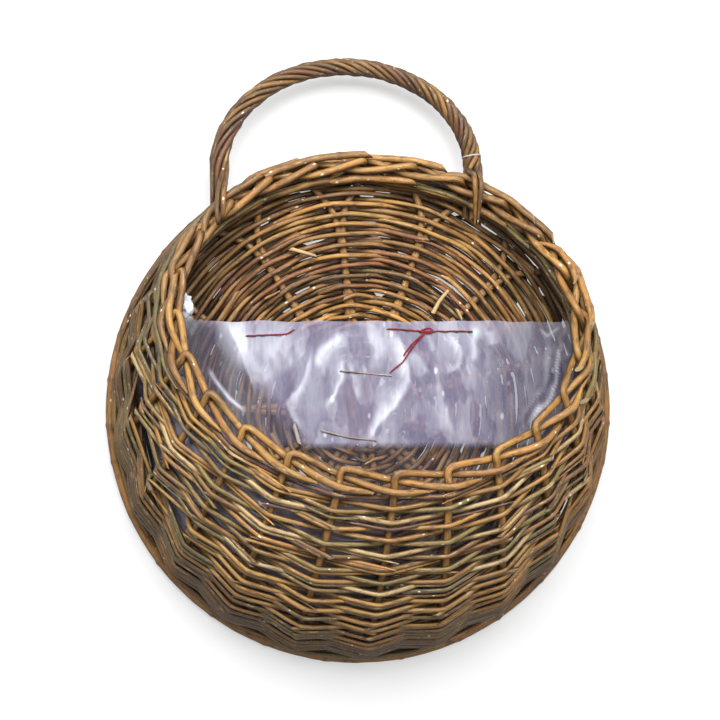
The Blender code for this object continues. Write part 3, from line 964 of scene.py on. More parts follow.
def buildBack():
    for turnOver in (0, 1):
        rng = random.Random(31 + turnOver)
        bm = bmesh.new()
        for piece in splitRun(backSpiral(turnOver, rng), rng, 22, 40):
            piece = [point.copy() for point in piece]
            piece[0] += piece[0].normalized() * back["weaverRadius"]
            piece[-1] -= piece[-1].normalized() * back["weaverRadius"]
            colour = pickBark(rng, {"gold": 1, "honey": 4, "brown": 5, "chestnut": 4, "rough": 1})
            radius = back["weaverRadius"] * rng.uniform(0.90, 1.06)
            tips = (0, 0.030) if rng.random() < 0.6 else (0.030, 0)
            addRod(bm, smoothRun(piece, 0.32), radius, colour, rng, 0.12, tips=tips)
        turn = 0.0
        while turn < math.tau * back["fillRows"] / 2:  # thin rods midway between the rows
            middle = back["firstRowRadius"] + (turnOver - 0.5 + turn / math.pi) * back["rowPitch"]
            count = round(rng.uniform(*back["fillLength"]) / back["fillStep"])
            points = []
            for step in range(count + 1):
                ahead = step * back["fillStep"] / middle
                reach = middle + ahead / math.pi * back["rowPitch"] + rng.uniform(-0.0003, 0.0003)
                points.append(around(rimAngle(0) + turn + ahead, reach, -back["fillDepth"]))
            # the fill rods are painted very dark, as painted shade in the gaps between the rows
            colour = shaded(pickBark(rng, {"rough": 3, "brown": 2, "chestnut": 2}), back["fillPaintedShade"])
            if middle < outerRadius - back["lastRowInset"]:
                addRod(bm, points, back["fillRadius"] * rng.uniform(0.8, 1.1), colour, rng, 0.3, 0.8)
            turn += (count * back["fillStep"] + rng.uniform(*back["fillGap"])) / middle
        name = f"back_weaver_{turnOver + 1}"
        finishRods(bm, f"backWeave{turnOver + 1}", backBark, "back_willow", name)


buildBack()
print("back weave made")

# Front weave
weave = {
    "pairs": 18,
    "nodes": 14,
    "radius": 0.00132,
    "rowPitchLeast": 0.0029,
    "rimMargin": 0.0018,
    "borderMargin": 0.0118,
    "crowding": 1.22,  # above 1 the rows stand closer near the rim
    "tail": 0.006,
    "turnShiftShare": 0.4,
    "turnReachShare": 1.55,
    "rowJitter": 0.00095,
    "bend": 0.11,
    "tipLength": 0.045,
    "middleSwell": 0.26,
}
sideOffset = bowl["stakeRadius"] + weave["radius"]


def usable(index):
    return bowlLengths[index] - weave["rimMargin"] - weave["borderMargin"] / slant(index)


def pairsAt(index):
    room = usable(index) * slant(index) / (2 * weave["rowPitchLeast"])
    return max(0, min(weave["pairs"], math.floor(room)))


def keptPairs(count):  # the middle pairs stop first as the basket narrows upwards
    middle = (weave["pairs"] - 1) / 2
    order = sorted(range(weave["pairs"]), key=lambda pair: -abs(pair - middle))
    return sorted(order[:count])


kept = [keptPairs(pairsAt(index)) for index in range(stakeCount)]
rowRandom = random.Random(5)
rowShift = [[rowRandom.uniform(-1, 1) for row in range(2 * weave["pairs"])] for index in range(stakeCount)]


def rowDirection(index, distance):  # along the row that meets a stake at a distance up the bowl
    share = distance / bowlLengths[index]
    ahead, behind = (index + 1) % stakeCount, index - 1
    run = along(bowlPaths[ahead], share * bowlLengths[ahead])[0]
    return (run - along(bowlPaths[behind], share * bowlLengths[behind])[0]).normalized()


def rowPlace(index, row, outward, raised=0.0):
    index %= stakeCount
    rank = 2 * kept[index].index(row // 2) + row % 2
    share = ((rank + 0.5) / (2 * len(kept[index]))) ** weave["crowding"]
    distance = weave["rimMargin"] + usable(index) * share
    distance += rowShift[index][row] * weave["rowJitter"] + raised
    point, rise = along(bowlPaths[index], distance)
    run = rowDirection(index, distance)
    return point + run.cross(rise).normalized() * sideOffset * outward, run


def sideOf(index, row):
    return 1 if (index + row) % 2 else -1


def rowSpan(pair):
    stakes = [index for index in range(stakeCount) if pair in kept[index]]
    return stakes[0], stakes[-1]


def weavePair(pair, raised=0.0):  # up one row, round the last stake and back along the next
    low, high = rowSpan(pair)
    stakes = list(range(low, high + 1))
    if pair % 2:
        stakes.reverse()
    way = 1 if stakes[-1] > stakes[0] else -1
    first, second = 2 * pair, 2 * pair + 1
    points = []
    for index in stakes:
        points.append(rowPlace(index, first, sideOf(index, first), raised)[0])
    start, run = rowPlace(stakes[-1], first, sideOf(stakes[-1], first), raised)
    end, otherRun = rowPlace(stakes[-1], second, sideOf(stakes[-1], second), raised)
    shift = sideOffset * weave["turnShiftShare"] * way
    points.append(start + run * shift)
    points.append(start.lerp(end, 0.5) + run * sideOffset * weave["turnReachShare"] * way)
    points.append(end + otherRun * shift)
    for index in reversed(stakes):
        points.append(rowPlace(index, second, sideOf(index, second), raised)[0])
    return points


def withTails(points, tail):
    ends = []
    for end, inner in ((points[0], points[1]), (points[-1], points[-2])):
        fromRim = outerRadius - math.hypot(end.x, end.z)
        reach = tail * min(max(fromRim / 0.03 - 0.1, 0.08), 1.0)
        ends.append(end + (end - inner).normalized() * reach)
    return [ends[0]] + points + [ends[1]]


def barkShares(place, low):  # colours drift from olive on the left to brown on the right
    right = min(max(place.x / outerRadius / 2 + 0.5, 0.0), 1.0)
    left = (1 - right) ** 2
    return {
        "olive": 5.0 * left + 0.2,
        "moss": 2.5 * left + 0.2 + 1.2 * low,
        "gold": (1.4 + 1.8 * right) * (1 - low),
        "honey": 1.4 + 1.6 * right,
        "brown": 3.0 * right * right + 0.5 + 2.0 * low,
        "rough": 1.0 + 1.6 * low,
        "plum": 1.7 * right * right + 0.1,
        "tan": 0.8,
        "grey": 1.8 * left,
    }


def addWeavePiece(bm, points, low, rng, thinness):
    points = withTails([point.copy() for point in points], rng.uniform(0.4, 1.3) * weave["tail"])
    middle = points[len(points) // 2]
    # the colour is dimmed a little overall and more towards the bottom rows; the extra darkening at the
    # bottom is painted shade
    colour = shaded(pickBark(rng, barkShares(middle, low)), 0.93 - 0.09 * low)
    swell = 1 + weave["middleSwell"] * max(0.0, 1 - abs(middle.x) / outerRadius)
    radius = weave["radius"] * rng.uniform(0.88, 1.12) * thinness * swell
    tips = (0, weave["tipLength"]) if rng.random() < 0.5 else (weave["tipLength"], 0)
    addRod(bm, smoothRun(points, weave["bend"]), radius, colour, rng, 0.1, tips=tips)


def addWeavePair(bm, pair, rng):
    low = max(0.0, 1 - pair / 7)
    even, above = weavePair(pair), weavePair(pair, 1.1 * weave["radius"])
    start = 0
    level = False
    while start < len(even) - 2:
        end = min(len(even), start + rng.randint(6, 13))
        if len(even) - end < 4:
            end = len(even)
        line = above if level else even
        addWeavePiece(bm, line[start:end], low, rng, 1.0)
        if end == len(even):
            break
        start = end - rng.randint(2, 3)
        level = not level
    doubled = weavePair(pair, -1.9 * weave["radius"])
    for extra in range(1 + len(even) // 12):
        first = rng.randint(0, max(1, len(even) - 5))
        addWeavePiece(bm, doubled[first:first + rng.randint(3, 6)], low, rng, rng.uniform(0.6, 0.85))


def nodeOf(pair):
    share = ((pair + 0.5) / weave["pairs"]) ** weave["crowding"]
    return math.floor(share * weave["nodes"])


def buildFront():
    for node in range(weave["nodes"]):
        rng = random.Random(70 + node)
        bm = bmesh.new()
        for pair in range(weave["pairs"]):
            if nodeOf(pair) == node:
                addWeavePair(bm, pair, rng)
        name = f"front_weaver_{node + 1:02d}"
        finishRods(bm, f"frontWeave{node + 1:02d}", frontBark, "front_willow", name)


buildFront()
print("front weave made")

# Handle
handle = {
    "shift": -0.0095,
    "halfWidth": 0.074,
    "springHeight": 0.142,
    "crownHeight": 0.2018,
    "footHeight": 0.114,
    "crownDepth": 0.012,
    "springDepth": 0.019,
    "footDepth": 0.0155,
    "coreRadius": 0.0020,
    "strands": 7,
    "frontStrands": 2,
    "strandRadius": 0.00160,
    "turns": 3.833,
    "quickeningShare": 0.45,
    "endSwellShare": 0.16,
    "overHeight": 0.0045,
    "footSpacing": 0.0036,
    "footReturn": 0.0060,
    "unwind": 0.014,
    "shade": 0.65,
    "tipLength": 0.020,
    "closing": 0.45,
    "tieShare": 0.965,
    "tieRadius": 0.00042,
    "steps": 40,
    "strandSteps": 90,
}
strandBarks = ["honey", "brown", "chestnut", "plum", "rough", "honey", "rough"]
strandGroups = [(0, 1), (2, 3), (4, 5), (6,)]  # the strands of each handle_strand node


def archPoint(share):
    turn = math.pi * (1 - share)
    rise = math.sin(turn)
    depth = handle["springDepth"] + (handle["crownDepth"] - handle["springDepth"]) * rise
    x = handle["shift"] + handle["halfWidth"] * math.cos(turn)
    z = handle["springHeight"] + (handle["crownHeight"] - handle["springHeight"]) * rise
    return Vector((x, -depth, z))


def mouthBeside(x):
    angles = [math.tau * (step / 720 - 0.5) for step in range(720)]
    upper = [mouthPoint(angle) for angle in angles if math.cos(angle) < 0]
    return min(upper, key=lambda point: abs(point.x - x))


def footRun(side, sideways):  # over the front of the border and down inside
    middle = handle["shift"] + side * handle["halfWidth"]
    x = middle + sideways
    closed = middle + sideways * handle["closing"]
    edge = mouthBeside(x)
    front = edge.y - stickPitch - 2 * border["radius"] - handle["strandRadius"]
    inside = edge.y - bowl["stakeRadius"] - handle["strandRadius"]
    return [
        Vector((x, front + handle["strandRadius"], edge.z + handle["overHeight"])),
        Vector((x, front, edge.z)),
        Vector(((x + closed) / 2, front + handle["strandRadius"], edge.z - handle["footReturn"])),
        Vector((closed, inside, handle["footHeight"] - handle["overHeight"])),
    ]


def legRun(side, across, forward):  # straight down behind the border
    x = handle["shift"] + side * handle["halfWidth"]
    points = []
    for drop, depth in ((handle["unwind"], handle["springDepth"]),
                        (handle["springHeight"] - handle["footHeight"], handle["footDepth"])):
        points.append(Vector((x + across, -depth + forward, handle["springHeight"] - drop)))
    return points


def strandRun(member, line, total):
    reach = handle["coreRadius"] + handle["strandRadius"]
    points, ends = [], []
    for step in range(handle["strandSteps"] + 1):
        share = step / handle["strandSteps"]
        place, direction = along(line, total * share)
        side = direction.cross(Vector((0.0, -1.0, 0.0))).normalized()
        forward = side.cross(direction).normalized()
        wound = (1 - handle["quickeningShare"]) * share + handle["quickeningShare"] * share * share
        turn = math.tau * (member / handle["strands"] - handle["turns"] * wound)
        swell = 1 + handle["endSwellShare"] * (2 * share - 1) ** 2
        offset = (side * math.cos(turn) + forward * math.sin(turn)) * reach * swell
        points.append(place + offset)
        ends.append(offset)
    if member < handle["frontStrands"]:
        left = footRun(-1, handle["footSpacing"] * (0.5 - member))
        right = footRun(1, handle["footSpacing"] * (member - 0.5))
    else:
        left = legRun(-1, ends[0].x, ends[0].y * 0.6)
        right = legRun(1, ends[-1].x, ends[-1].y * 0.6)
    return list(reversed(left)) + points + right


def tieMaterial():
    material = bpy.data.materials.new("clear tie")
    material.use_nodes = True
    shader = material.node_tree.nodes["Principled BSDF"]
    shader.inputs["Base Color"].default_value = (*paint(226, 226, 232), 1)
    shader.inputs["Roughness"].default_value = 0.3
    shader.inputs["Alpha"].default_value = 0.75
    return material


def buildTie(line, total):  # a clear tie round the handle above its right foot
    place, direction = along(line, total * handle["tieShare"])
    reach = handle["coreRadius"] + 2 * handle["strandRadius"] * (1 + handle["endSwellShare"] / 2)
    bm = bmesh.new()
    side = direction.cross(Vector((0.0, -1.0, 0.0))).normalized()
    forward = side.cross(direction).normalized()
    ring = []
    for step in range(25):
        turn = math.tau * step / 24
        ring.append(place + (side * math.cos(turn) + forward * math.sin(turn)) * reach)
    addRod(bm, ring, handle["tieRadius"], bark["hazy"], random.Random(3), 0.0, 0.2, closed=True)
    finishRods(bm, "handleTie", tieMaterial(), "liner_film")


def buildHandle():
    rng = random.Random(9)
    line = [archPoint(step / handle["steps"]) for step in range(handle["steps"] + 1)]
    total = runLength(line)
    bm = bmesh.new()
    leftFoot = Vector((line[0].x, -handle["footDepth"], handle["footHeight"]))
    rightFoot = Vector((line[-1].x, -handle["footDepth"], handle["footHeight"]))
    addRod(bm, smoothRun([leftFoot] + line + [rightFoot]), handle["coreRadius"], bark["brown"], rng)
    finishRods(bm, "handleCore", handleBark, "handle_willow", "handle_core")
    for number, members in enumerate(strandGroups):
        bm = bmesh.new()
        for member in members:
            colour = shaded(pickBark(rng, {strandBarks[member]: 1}), handle["shade"])
            radius = handle["strandRadius"] * rng.uniform(0.9, 1.1)
            tips = (handle["tipLength"], handle["tipLength"]) if member < handle["frontStrands"] else (0, 0)
            run = smoothRun(strandRun(member, line, total))
            addRod(bm, run, radius, colour, rng, 0.05, 0.8, tips=tips)
        node = f"handle_strand_{number + 1}"
        finishRods(bm, f"handleStrands{number + 1}", handleBark, "handle_willow", node)
    buildTie(line, total)


buildHandle()
print("handle made")

# Film liner
liner = {
    "top": 0.053,
    "columns": 480,
    "rows": 220,
    "rearShare": 0.6,
    "rearRowsShare": 0.65,
    "start": 0.0100,
    "edgeInset": 0.012,
    "gap": 0.0008,
    "fold": 0.0040,
    "crease": 0.0010,
    "milkyDepth": 0.034,
    "seamHeight": -0.018,
    "edgeWave": 0.0010,
    "cornerPlace": -0.1035,
    "cornerHeight": 0.0060,
    "cornerWidth": 0.0042,
    "crumplePlace": (-0.1032, -0.0470, 0.0622),
    "crumpleRadius": 0.0050,
}
linerFolds = [  # bends in millimetres from the rim's middle, widths to the right and left, brightness of the painted highlight
    ([(-78, 53), (-73, 39), (-66, 22), (-58, 15)], 9, 0.9, 0.62),
    ([(-65, 41), (-50, 36), (-41, 25)], 12, 10, 0.40),
    ([(-10, 45), (-20, 37), (-28, 26)], 5, 3.5, 0.85),
    ([(-11, 31), (-12.5, 19), (-15, 10), (-20, 3)], 1.4, 1.6, 0.60),
    ([(-30, 36), (-34, 25), (-39, 13), (-44, 5), (-41, -3), (-37, -10)], 2.6, 1.0, 0.60),
    ([(18, 48), (24, 34), (26, 19), (19, 4), (7, -10), (2, -18)], 1.6, 4.2, 0.85),
    ([(28, 36), (33, 29), (38, 22)], 2, 5, 0.50),
    ([(53, 44), (58, 38), (57.5, 28), (51, 22)], 0.8, 3.6, 0.55),
    ([(45, 18), (47, 6), (53, -13)], 1.6, 7, 0.50),
    ([(68, 50), (65, 40), (65, 29)], 2.6, 1.5, 0.65),
    ([(73, 48), (76, 39)], 4, 3, 0.55),
    ([(120, 39), (117, 22), (110, 5), (100, -9)], 1.1, 1.5, 1.00),
    ([(113, 36), (110, 22), (103, 7), (95, -6)], 0.8, 2.2, 0.45),
    ([(-90, 26), (-85, 18), (-76, 7), (-68, 0)], 1.0, 1.4, 0.90),
    ([(4, 48), (9, 35), (7, 23)], 5, 4, 0.35),
    ([(-9, 30), (-5, 18), (-1, 6)], 3, 1.0, 0.45),
    ([(38, 46), (40, 36)], 2, 2, 0.40),
    ([(105, 49), (110, 44), (117, 50)], 1.2, 1.2, 0.60),
    ([(-96, 52), (-101, 45)], 1.2, 1.2, 0.50),
]
frontGlints = [  # the same on the film behind the front weave
    ([(-111, -12), (-105, -21)], 1.2, 1.2, 0.95),
    ([(-76, -22), (-71, -27)], 1.4, 1.4, 0.90),
    ([(-46, -25), (-40, -29)], 1.6, 1.6, 0.90),
    ([(-103, -42), (-98, -50)], 0.9, 0.9, 0.70),
    ([(-62, -52), (-54, -57)], 0.9, 0.9, 0.70),
]


def linerPoint(turnShare, rowShare):  # rowShare 0 is the top edge in front, 1 the middle of the back
    frontRows = 1 - liner["rearRowsShare"]
    if rowShare < frontRows:
        runShare = liner["rearShare"] * rowShare / frontRows
    else:
        rear = (rowShare - frontRows) / liner["rearRowsShare"]
        runShare = liner["rearShare"] + (1 - liner["rearShare"]) * rear
    place = turnShare * stakeCount
    index = int(place) % stakeCount
    blend = place - int(place)
    pair = (index, (index + 1) % stakeCount)
    ends = [along(linerColumns[each], runShare * linerLengths[each])[0] for each in pair]
    return ends[0].lerp(ends[1], blend)


def linerColumn(index):
    path = bowlPaths[index]
    inside = sideOffset + weave["radius"] + liner["gap"]
    points = []
    for step in range(9):
        share = 1 - step / 8
        distance = liner["start"] + (bowlLengths[index] - 0.015 - liner["start"]) * share
        place, rise = along(path, distance)
        points.append(place - rowDirection(index, distance).cross(rise).normalized() * inside)
    backY = frontLayerY - bowl["stakeRadius"] - 2 * back["weaverRadius"] - liner["gap"]
    for share in (0.86, 0.6, 0.3, 0.0):
        points.append(around(rimAngle(index), (outerRadius - liner["edgeInset"]) * share, backY))
    return points


linerColumns = [linerColumn(index) for index in range(stakeCount)]
linerLengths = [runLength(run) for run in linerColumns]


def foldLight(places, folds):  # 0 to 1 at each place, how strongly a fold catches the light, painted into the film's colour
    warped = []
    for place in places:
        warp = noise.noise(Vector((place.x * 45, 7.0, place.z * 45))) * 0.0032
        warp += noise.noise(Vector((place.x * 170, 2.0, place.z * 120))) * 0.0012
        warped.append((place.x + warp, place.z - warp * 0.6))
    spots = np.array(warped)
    light = np.zeros(len(places))
    for bends, rightWidth, leftWidth, strength in folds:
        line = np.array(bends) / 1000
        count = len(line) - 1
        nearest = np.full(len(places), 1e3)
        shares = np.zeros(len(places))
        for number, (a, b) in enumerate(zip(line, line[1:])):
            step = b - a
            share = np.clip((spots - a) @ step / (step @ step), 0, 1)
            offset = spots - a - share[:, None] * step
            width = np.where(offset[:, 0] > 0, rightWidth, leftWidth) / 1000
            near = np.hypot(offset[:, 0], offset[:, 1]) / width
            shares = np.where(near < nearest, (number + share) / count, shares)
            nearest = np.minimum(near, nearest)
        fade = np.clip(np.minimum(shares, 1 - shares) / 0.14, 0, 1)
        light = np.maximum(light, strength * (0.25 + 0.75 * fade) * np.exp(-(nearest**2)))
    return light


film = {  # colours of the hazy back layer and its painted highlight, then of the clear layer in front: dark as painted shade, paler, and a painted glint
    "shade": paint(138, 134, 166),
    "shine": paint(240, 243, 255),
    "dark": paint(40, 37, 38),
    "pale": paint(206, 202, 230),
    "glint": paint(236, 238, 255),
    "roughness": 0.26,
    "wrinkleDepth": 0.0010,
}


def filmMaterial():
    material = bpy.data.materials.new("clear film")
    material.use_nodes = True
    tree = material.node_tree
    shader = tree.nodes["Principled BSDF"]
    place = newNode(tree, "ShaderNodeTexCoord").outputs["Object"]
    masks = newNode(tree, "ShaderNodeAttribute", attribute_name="hazeAndHighlight")
    parts = newNode(tree, "ShaderNodeSeparateColor")
    tree.links.new(masks.outputs["Color"], parts.inputs["Color"])
    light, milky = parts.outputs["Red"], parts.outputs["Green"]
    # painted highlight and sheen: the fold light from the attribute, a mottled veil, streaks, glints and
    # facet tones lift the film's colour towards shine; where it shines the film is also less clear
    mottle = noiseValue(tree, scaled(tree, place, (60, 60, 17)), detail=4, rough=0.6)
    veil = mathNode(tree, "MULTIPLY", ramp(tree, mottle, 0.34, 0.72), 0.40)
    streaks = noiseValue(tree, scaled(tree, place, (240, 240, 40)), detail=3, rough=0.6)
    broken = mathNode(tree, "MULTIPLY", light, mathNode(tree, "MULTIPLY_ADD", streaks, 0.9, 0.36))
    shine = mathNode(tree, "ADD", broken, veil, clamp=True)
    glints = newNode(tree, "ShaderNodeTexVoronoi")
    tree.links.new(scaled(tree, place, (230, 230, 120)), glints.inputs["Vector"])
    glints.inputs["Scale"].default_value = 1.0
    picked = newNode(tree, "ShaderNodeSeparateColor")
    tree.links.new(glints.outputs["Color"], picked.inputs["Color"])
    near = mathNode(tree, "SUBTRACT", 1.0, ramp(tree, glints.outputs["Distance"], 0.12, 0.34))
    glint = mathNode(tree, "MULTIPLY", near, mathNode(tree, "GREATER_THAN", picked.outputs["Red"], 0.94))
    shine = mathNode(tree, "MULTIPLY_ADD", glint, 0.55, shine, clamp=True)
    facets = noiseValue(tree, scaled(tree, place, (85, 85, 36), (3, 1, 8)), detail=2, rough=0.5)
    tone = mathNode(tree, "MULTIPLY_ADD", ramp(tree, facets, 0.47, 0.53), 0.16, -0.08)
    shine = mathNode(tree, "ADD", shine, tone, clamp=True)
    seen = mixColour(tree, shine, film["shade"], film["shine"])
    # the layer behind the front weave is painted dark, as painted shade inside the bowl, paler towards the
    # left, with painted glints from the fold light
    dim = mixColour(tree, masks.outputs["Alpha"], film["dark"], film["pale"])
    front = mixColour(tree, light, dim, film["glint"])
    colour = mixColour(tree, milky, front, seen)
    tree.links.new(colour, shader.inputs["Base Color"])
    clear = mathNode(tree, "MULTIPLY_ADD", shine, 0.34, 0.58)
    faint = mathNode(tree, "MULTIPLY", mathNode(tree, "SUBTRACT", 1.0, milky), parts.outputs["Blue"])
    alpha = mathNode(tree, "ADD", mathNode(tree, "MULTIPLY", clear, milky), faint, clamp=True)
    tree.links.new(alpha, shader.inputs["Alpha"])
    shader.inputs["Roughness"].default_value = film["roughness"]
    wrinkles = noiseValue(tree, scaled(tree, place, (150, 150, 50)), detail=3, rough=0.5)
    bump = newNode(tree, "ShaderNodeBump")
    bump.inputs["Distance"].default_value = film["wrinkleDepth"]
    bump.inputs["Strength"].default_value = 0.8
    tree.links.new(wrinkles, bump.inputs["Height"])
    tree.links.new(bump.outputs["Normal"], shader.inputs["Normal"])
    return material


def buildLiner():
    bm = bmesh.new()
    bmesh.ops.create_grid(bm, x_segments=liner["columns"], y_segments=liner["rows"], size=0.5)
    for vert in bm.verts:
        vert.co = linerPoint((vert.co.x + 0.5) * 0.99999, vert.co.y + 0.5)
    bmesh.ops.remove_doubles(bm, verts=bm.verts, dist=0.00005)
    geometry = bm.verts[:] + bm.edges[:] + bm.faces[:]
    bmesh.ops.bisect_plane(
        bm, geom=geometry, plane_co=(0, 0, liner["top"]), plane_no=(0, 0, 1), clear_outer=True
    )
    bmesh.ops.recalc_face_normals(bm, faces=bm.faces)
    bm.normal_update()
    # the colour attribute holds the painted highlight (red), the film's milkiness (green), the clear layer's
    # opacity (blue) and the share towards the left (alpha)
    layer = bm.verts.layers.float_color.new("hazeAndHighlight")
    centre = Vector((0.0, -0.05, -0.03))
    places = [vert.co.copy() for vert in bm.verts]
    backLight, frontLight = foldLight(places, linerFolds), foldLight(places, frontGlints)
    for number, vert in enumerate(bm.verts):
        behind = min(max((vert.co.y + liner["milkyDepth"]) / 0.012, 0.0), 1.0)
        above = min(max((vert.co.z - liner["seamHeight"]) / 0.004 + 1, 0.0), 1.0)
        light = backLight[number] * behind + frontLight[number] * (1 - behind)
        under = (-vert.co.x - 0.057) * 0.78 + (0.012 - vert.co.z) * 0.63
        thin = 1 - 0.50 * min(max(under / 0.012 + 0.5, 0.0), 1.0)
        thin -= 0.22 * min(max((vert.co.x - 0.060) / 0.03, 0.0), 1.0)
        topShare = min(max(1 - (liner["top"] - vert.co.z) / 0.008, 0.0), 1.0)
        beside = (vert.co.x - liner["cornerPlace"]) / liner["cornerWidth"]
        peak = math.exp(-(beside**2)) * behind * topShare
        vert.co.z += topShare * liner["edgeWave"] * noise.noise(Vector((vert.co.x * 60, 3.0, 0.0)))
        vert.co.z += peak * liner["cornerHeight"]
        # the raised corner of the top edge is painted bright, as painted highlight
        light = max(light, peak)
        leftward = min(max(0.18 - vert.co.x / 0.09, 0.0), 1.0) * (1 - behind)
        leftward *= min(max((vert.co.x + 0.124) / 0.010, 0.0), 1.0)
        faint = (0.62 + 0.30 * leftward) * (1 - behind) + 0.12
        vert[layer] = (light, behind * (0.25 + 0.75 * above) * max(thin, light), faint, leftward)
        broad = noise.noise(Vector((vert.co.x * 45, vert.co.y * 30, vert.co.z * 12)))
        fine = noise.noise(Vector((vert.co.x * 150, vert.co.y * 90, vert.co.z * 60)))
        amount = liner["fold"] * (0.40 + 0.45 * broad + 0.08 * light) + liner["crease"] * (0.5 + 0.5 * fine)
        amount += peak * 0.003 * noise.noise(vert.co * 420)
        inward = vert.normal if vert.normal.dot(centre - vert.co) > 0 else -vert.normal
        vert.co += inward * amount
    surface = BVHTree.FromBMesh(bm)
    ball = bmesh.ops.create_icosphere(bm, subdivisions=4, radius=liner["crumpleRadius"])
    for vert in ball["verts"]:
        ripple = noise.noise(vert.co * 260) + 0.6 * noise.noise(vert.co * 620 + Vector((5, 5, 5)))
        vert.co *= 1 + 0.55 * ripple
        vert.co.z *= 1.25
        vert.co += Vector(liner["crumplePlace"])
        # the crumpled corner is painted fully bright as painted highlight, and fully milky
        vert[layer] = (1.0, 1.0, 0.1, 0.0)
    bmesh.ops.transform(bm, matrix=lift, verts=bm.verts)
    for face in bm.faces:
        face.smooth = True
    finishPiece(bm, "linerFilm", filmMaterial(), "liner_film", "film_liner")
    return surface


filmSurface = buildLiner()
print("liner made")

# Red threads and stray stems
threads = {"radius": 0.00048, "stitch": 0.0075, "dip": 0.0004, "wave": 0.0006}
redThreads = {  # routes over the film seen from the front
    "thread_left": [[(-0.0680, 0.0445), (-0.0570, 0.0448), (-0.0445, 0.0455), (-0.0400, 0.0480)]],
    "thread_right": [
        [(0.0150, 0.0486), (0.0380, 0.0470), (0.0650, 0.0470)],
        [
            (0.0340, 0.0462), (0.0372, 0.0486), (0.0405, 0.0488),
            (0.0420, 0.0470), (0.0400, 0.0456), (0.0345, 0.0466),
        ],
        [(0.0355, 0.0480), (0.0385, 0.0462), (0.0412, 0.0478)],
    ],
    "thread_tail": [
        [(0.0375, 0.0465), (0.0300, 0.0380), (0.0240, 0.0290), (0.0165, 0.0230)],
        [(0.0360, 0.0455), (0.0290, 0.0390), (0.0245, 0.0330)],
    ],
}


stemDepth = frontLayerY - bowl["stakeRadius"] - 2 * back["weaverRadius"]


def overFilm(x, z):
    found = filmSurface.ray_cast(Vector((x, -0.030, z)), Vector((0.0, 1.0, 0.0)))[0]
    return found.y if found else frontLayerY - 0.008


strayStems = [  # bends over the film or the back in millimetres, radius and bark
    ([(42, 58), (46, 65), (51, 71)], 0.0016, "tan"),
    ([(-42, 95), (-34, 93), (-27, 91)], 0.0015, "tan"),
    ([(-13, 24), (2, 22.5), (17, 21)], 0.0005, "hazy"),
    ([(-24, -11), (-8, -15), (8, -17)], 0.0006, "hazy"),
    ([(-40, -8), (-37, -18)], 0.0017, "hazy"),
    ([(56, 60), (59, 54)], 0.0012, "tan"),
    ([(-57, 66), (-49, 70)], 0.0010, "honey"),
]


def buildStems():
    rng = random.Random(61)
    bm = bmesh.new()
    for bends, radius, name in strayStems:
        points = []
        for x, z in bends:
            y = overFilm(x / 1000, z / 1000) if z < 50 else stemDepth
            points.append(Vector((x / 1000, y - radius, z / 1000)))
        addRod(bm, smoothRun(points), radius, bark[name], rng, 0.3, 0.5)
    finishRods(bm, "strayStems", backBark, "back_willow")


def threadMaterial():
    material = bpy.data.materials.new("red thread")
    material.use_nodes = True
    tree = material.node_tree
    shader = tree.nodes["Principled BSDF"]
    place = newNode(tree, "ShaderNodeUVMap", uv_map="UVMap").outputs["UV"]
    twist = noiseValue(tree, scaled(tree, place, (900, 500, 1)), detail=2)
    colour = mixColour(tree, twist, paint(92, 18, 28), paint(158, 46, 58))
    tree.links.new(colour, shader.inputs["Base Color"])
    shader.inputs["Roughness"].default_value = 0.75
    return material


def buildThreads():
    material = threadMaterial()
    for name, routes in redThreads.items():
        rng = random.Random(name)
        bm = bmesh.new()
        for route in routes:
            spots = evenRun([Vector((x, 0.0, z)) for x, z in route], 0.0012)
            points = []
            for number, spot in enumerate(spots):
                dip = threads["dip"] * math.cos(math.tau * number * 0.0012 / threads["stitch"])
                y = overFilm(spot.x, spot.z) - threads["radius"] * 1.2 + dip
                points.append(Vector((spot.x, y, spot.z + rng.uniform(-0.3, 0.3) * threads["wave"])))
            addRod(bm, smoothRun(points), threads["radius"], paint(150, 40, 50), rng, 0.0, 0.3)
        parts = name.split("_")
        finishRods(bm, parts[0] + parts[1].title(), material, "red_thread", name)


buildThreads()
buildStems()
print("threads and stems made")

# Camera, wall and light
view = {
    "distance": 1.2,
    "yaw": -5.0,
    "pitch": 1.0,
    "frameWidth": 0.427,
    "aimHeight": 0.030,
}


def buildCamera():
    data = bpy.data.cameras.new("camera")
    camera = bpy.data.objects.new("camera", data)
    bpy.context.collection.objects.link(camera)
    bpy.context.scene.camera = camera
    aim = Vector((0, 0, rimHeight + view["aimHeight"]))
    yaw, pitch = math.radians(view["yaw"]), math.radians(view["pitch"])
    outward = Vector((math.sin(yaw) * math.cos(pitch), -math.cos(yaw) * math.cos(pitch), math.sin(pitch)))
    camera.location = aim + outward * view["distance"]
    camera.rotation_mode = "QUATERNION"
    camera.rotation_quaternion = (-outward).to_track_quat("-Z", "Y")
    data.lens = data.sensor_width / 2 / (view["frameWidth"] / 2 / view["distance"])
    data.clip_start, data.clip_end = 0.01, 20


backdrop = {"gap": 0.0015, "halfSize": 3, "grey": 0.50, "glow": 0.52}


def seenRays(tree):  # 1 for rays from the camera, also by way of gloss or film
    path = newNode(tree, "ShaderNodeLightPath")
    seen = mathNode(tree, "MAXIMUM", path.outputs["Is Camera Ray"], path.outputs["Is Glossy Ray"])
    return mathNode(tree, "MAXIMUM", seen, path.outputs["Is Transmission Ray"])


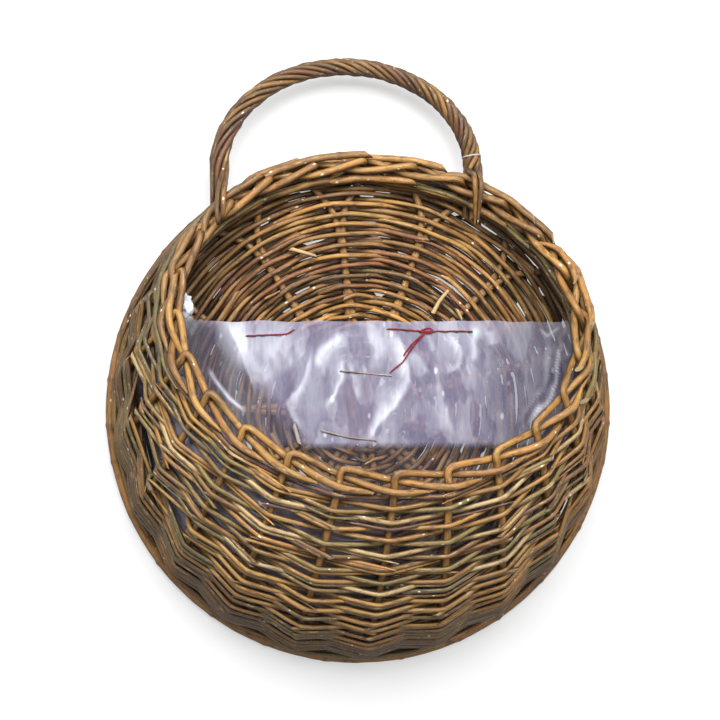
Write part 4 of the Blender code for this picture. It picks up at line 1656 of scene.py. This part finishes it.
def wallMaterial():
    material = bpy.data.materials.new("wall")
    material.use_nodes = True
    tree = material.node_tree
    tree.nodes.clear()
    out = newNode(tree, "ShaderNodeOutputMaterial")
    lit = newNode(tree, "ShaderNodeBsdfDiffuse")
    lit.inputs["Color"].default_value = (backdrop["grey"], backdrop["grey"], backdrop["grey"], 1)
    glow = newNode(tree, "ShaderNodeEmission")
    glow.inputs["Strength"].default_value = backdrop["glow"]
    both = newNode(tree, "ShaderNodeAddShader")
    tree.links.new(lit.outputs[0], both.inputs[0])
    tree.links.new(glow.outputs[0], both.inputs[1])
    clear = newNode(tree, "ShaderNodeBsdfTransparent")
    facing = newNode(tree, "ShaderNodeNewGeometry")
    front = mathNode(tree, "SUBTRACT", 1.0, facing.outputs["Backfacing"])
    shown = mathNode(tree, "MULTIPLY", seenRays(tree), front)
    mixed = newNode(tree, "ShaderNodeMixShader")
    tree.links.new(shown, mixed.inputs["Fac"])
    tree.links.new(clear.outputs[0], mixed.inputs[1])
    tree.links.new(both.outputs[0], mixed.inputs[2])
    tree.links.new(mixed.outputs[0], out.inputs["Surface"])
    return material


def buildWall():
    bm = bmesh.new()
    bmesh.ops.create_grid(bm, x_segments=1, y_segments=1, size=backdrop["halfSize"])
    upright = Matrix.Translation((0, backdrop["gap"], rimHeight)) @ Matrix.Rotation(math.radians(90), 4, "X")
    bmesh.ops.transform(bm, matrix=upright, verts=bm.verts)
    mesh = bpy.data.meshes.new("wall")
    bm.to_mesh(mesh)
    bm.free()
    mesh.materials.append(wallMaterial())
    wall = bpy.data.objects.new("wall", mesh)
    bpy.context.collection.objects.link(wall)


lamps = {  # place, aim, width and height, and power
    "key": ((-0.08, -1.46, 1.16), (0, 0, 0.15), (1.8, 1.0), 54),
    "fill": ((0.7, -1.9, 0.3), (0, 0, 0.12), (1.2, 1.2), 6),
    "rear": ((0.5, 1.6, 0.9), (0, 0, 0.15), (1.2, 1.2), 14),
}


worldLight = 0.13


def buildLight():
    world = bpy.data.worlds.new("studio")
    world.use_nodes = True
    bpy.context.scene.world = world
    tree = world.node_tree
    background = tree.nodes["Background"]
    background.inputs["Color"].default_value = (1, 1, 1, 1)
    strength = mathNode(tree, "MULTIPLY_ADD", seenRays(tree), 1 - worldLight, worldLight)
    tree.links.new(strength, background.inputs["Strength"])
    for name, (place, aim, size, power) in lamps.items():
        data = bpy.data.lights.new(name, "AREA")
        data.shape = "RECTANGLE"
        data.size, data.size_y = size
        data.energy = power
        lamp = bpy.data.objects.new(name, data)
        lamp.location = place
        lamp.rotation_mode = "QUATERNION"
        lamp.rotation_quaternion = (Vector(aim) - Vector(place)).to_track_quat("-Z", "Y")
        bpy.context.collection.objects.link(lamp)


buildCamera()
buildWall()
buildLight()
bpy.context.scene.view_settings.view_transform = "Standard"

print("scene made")
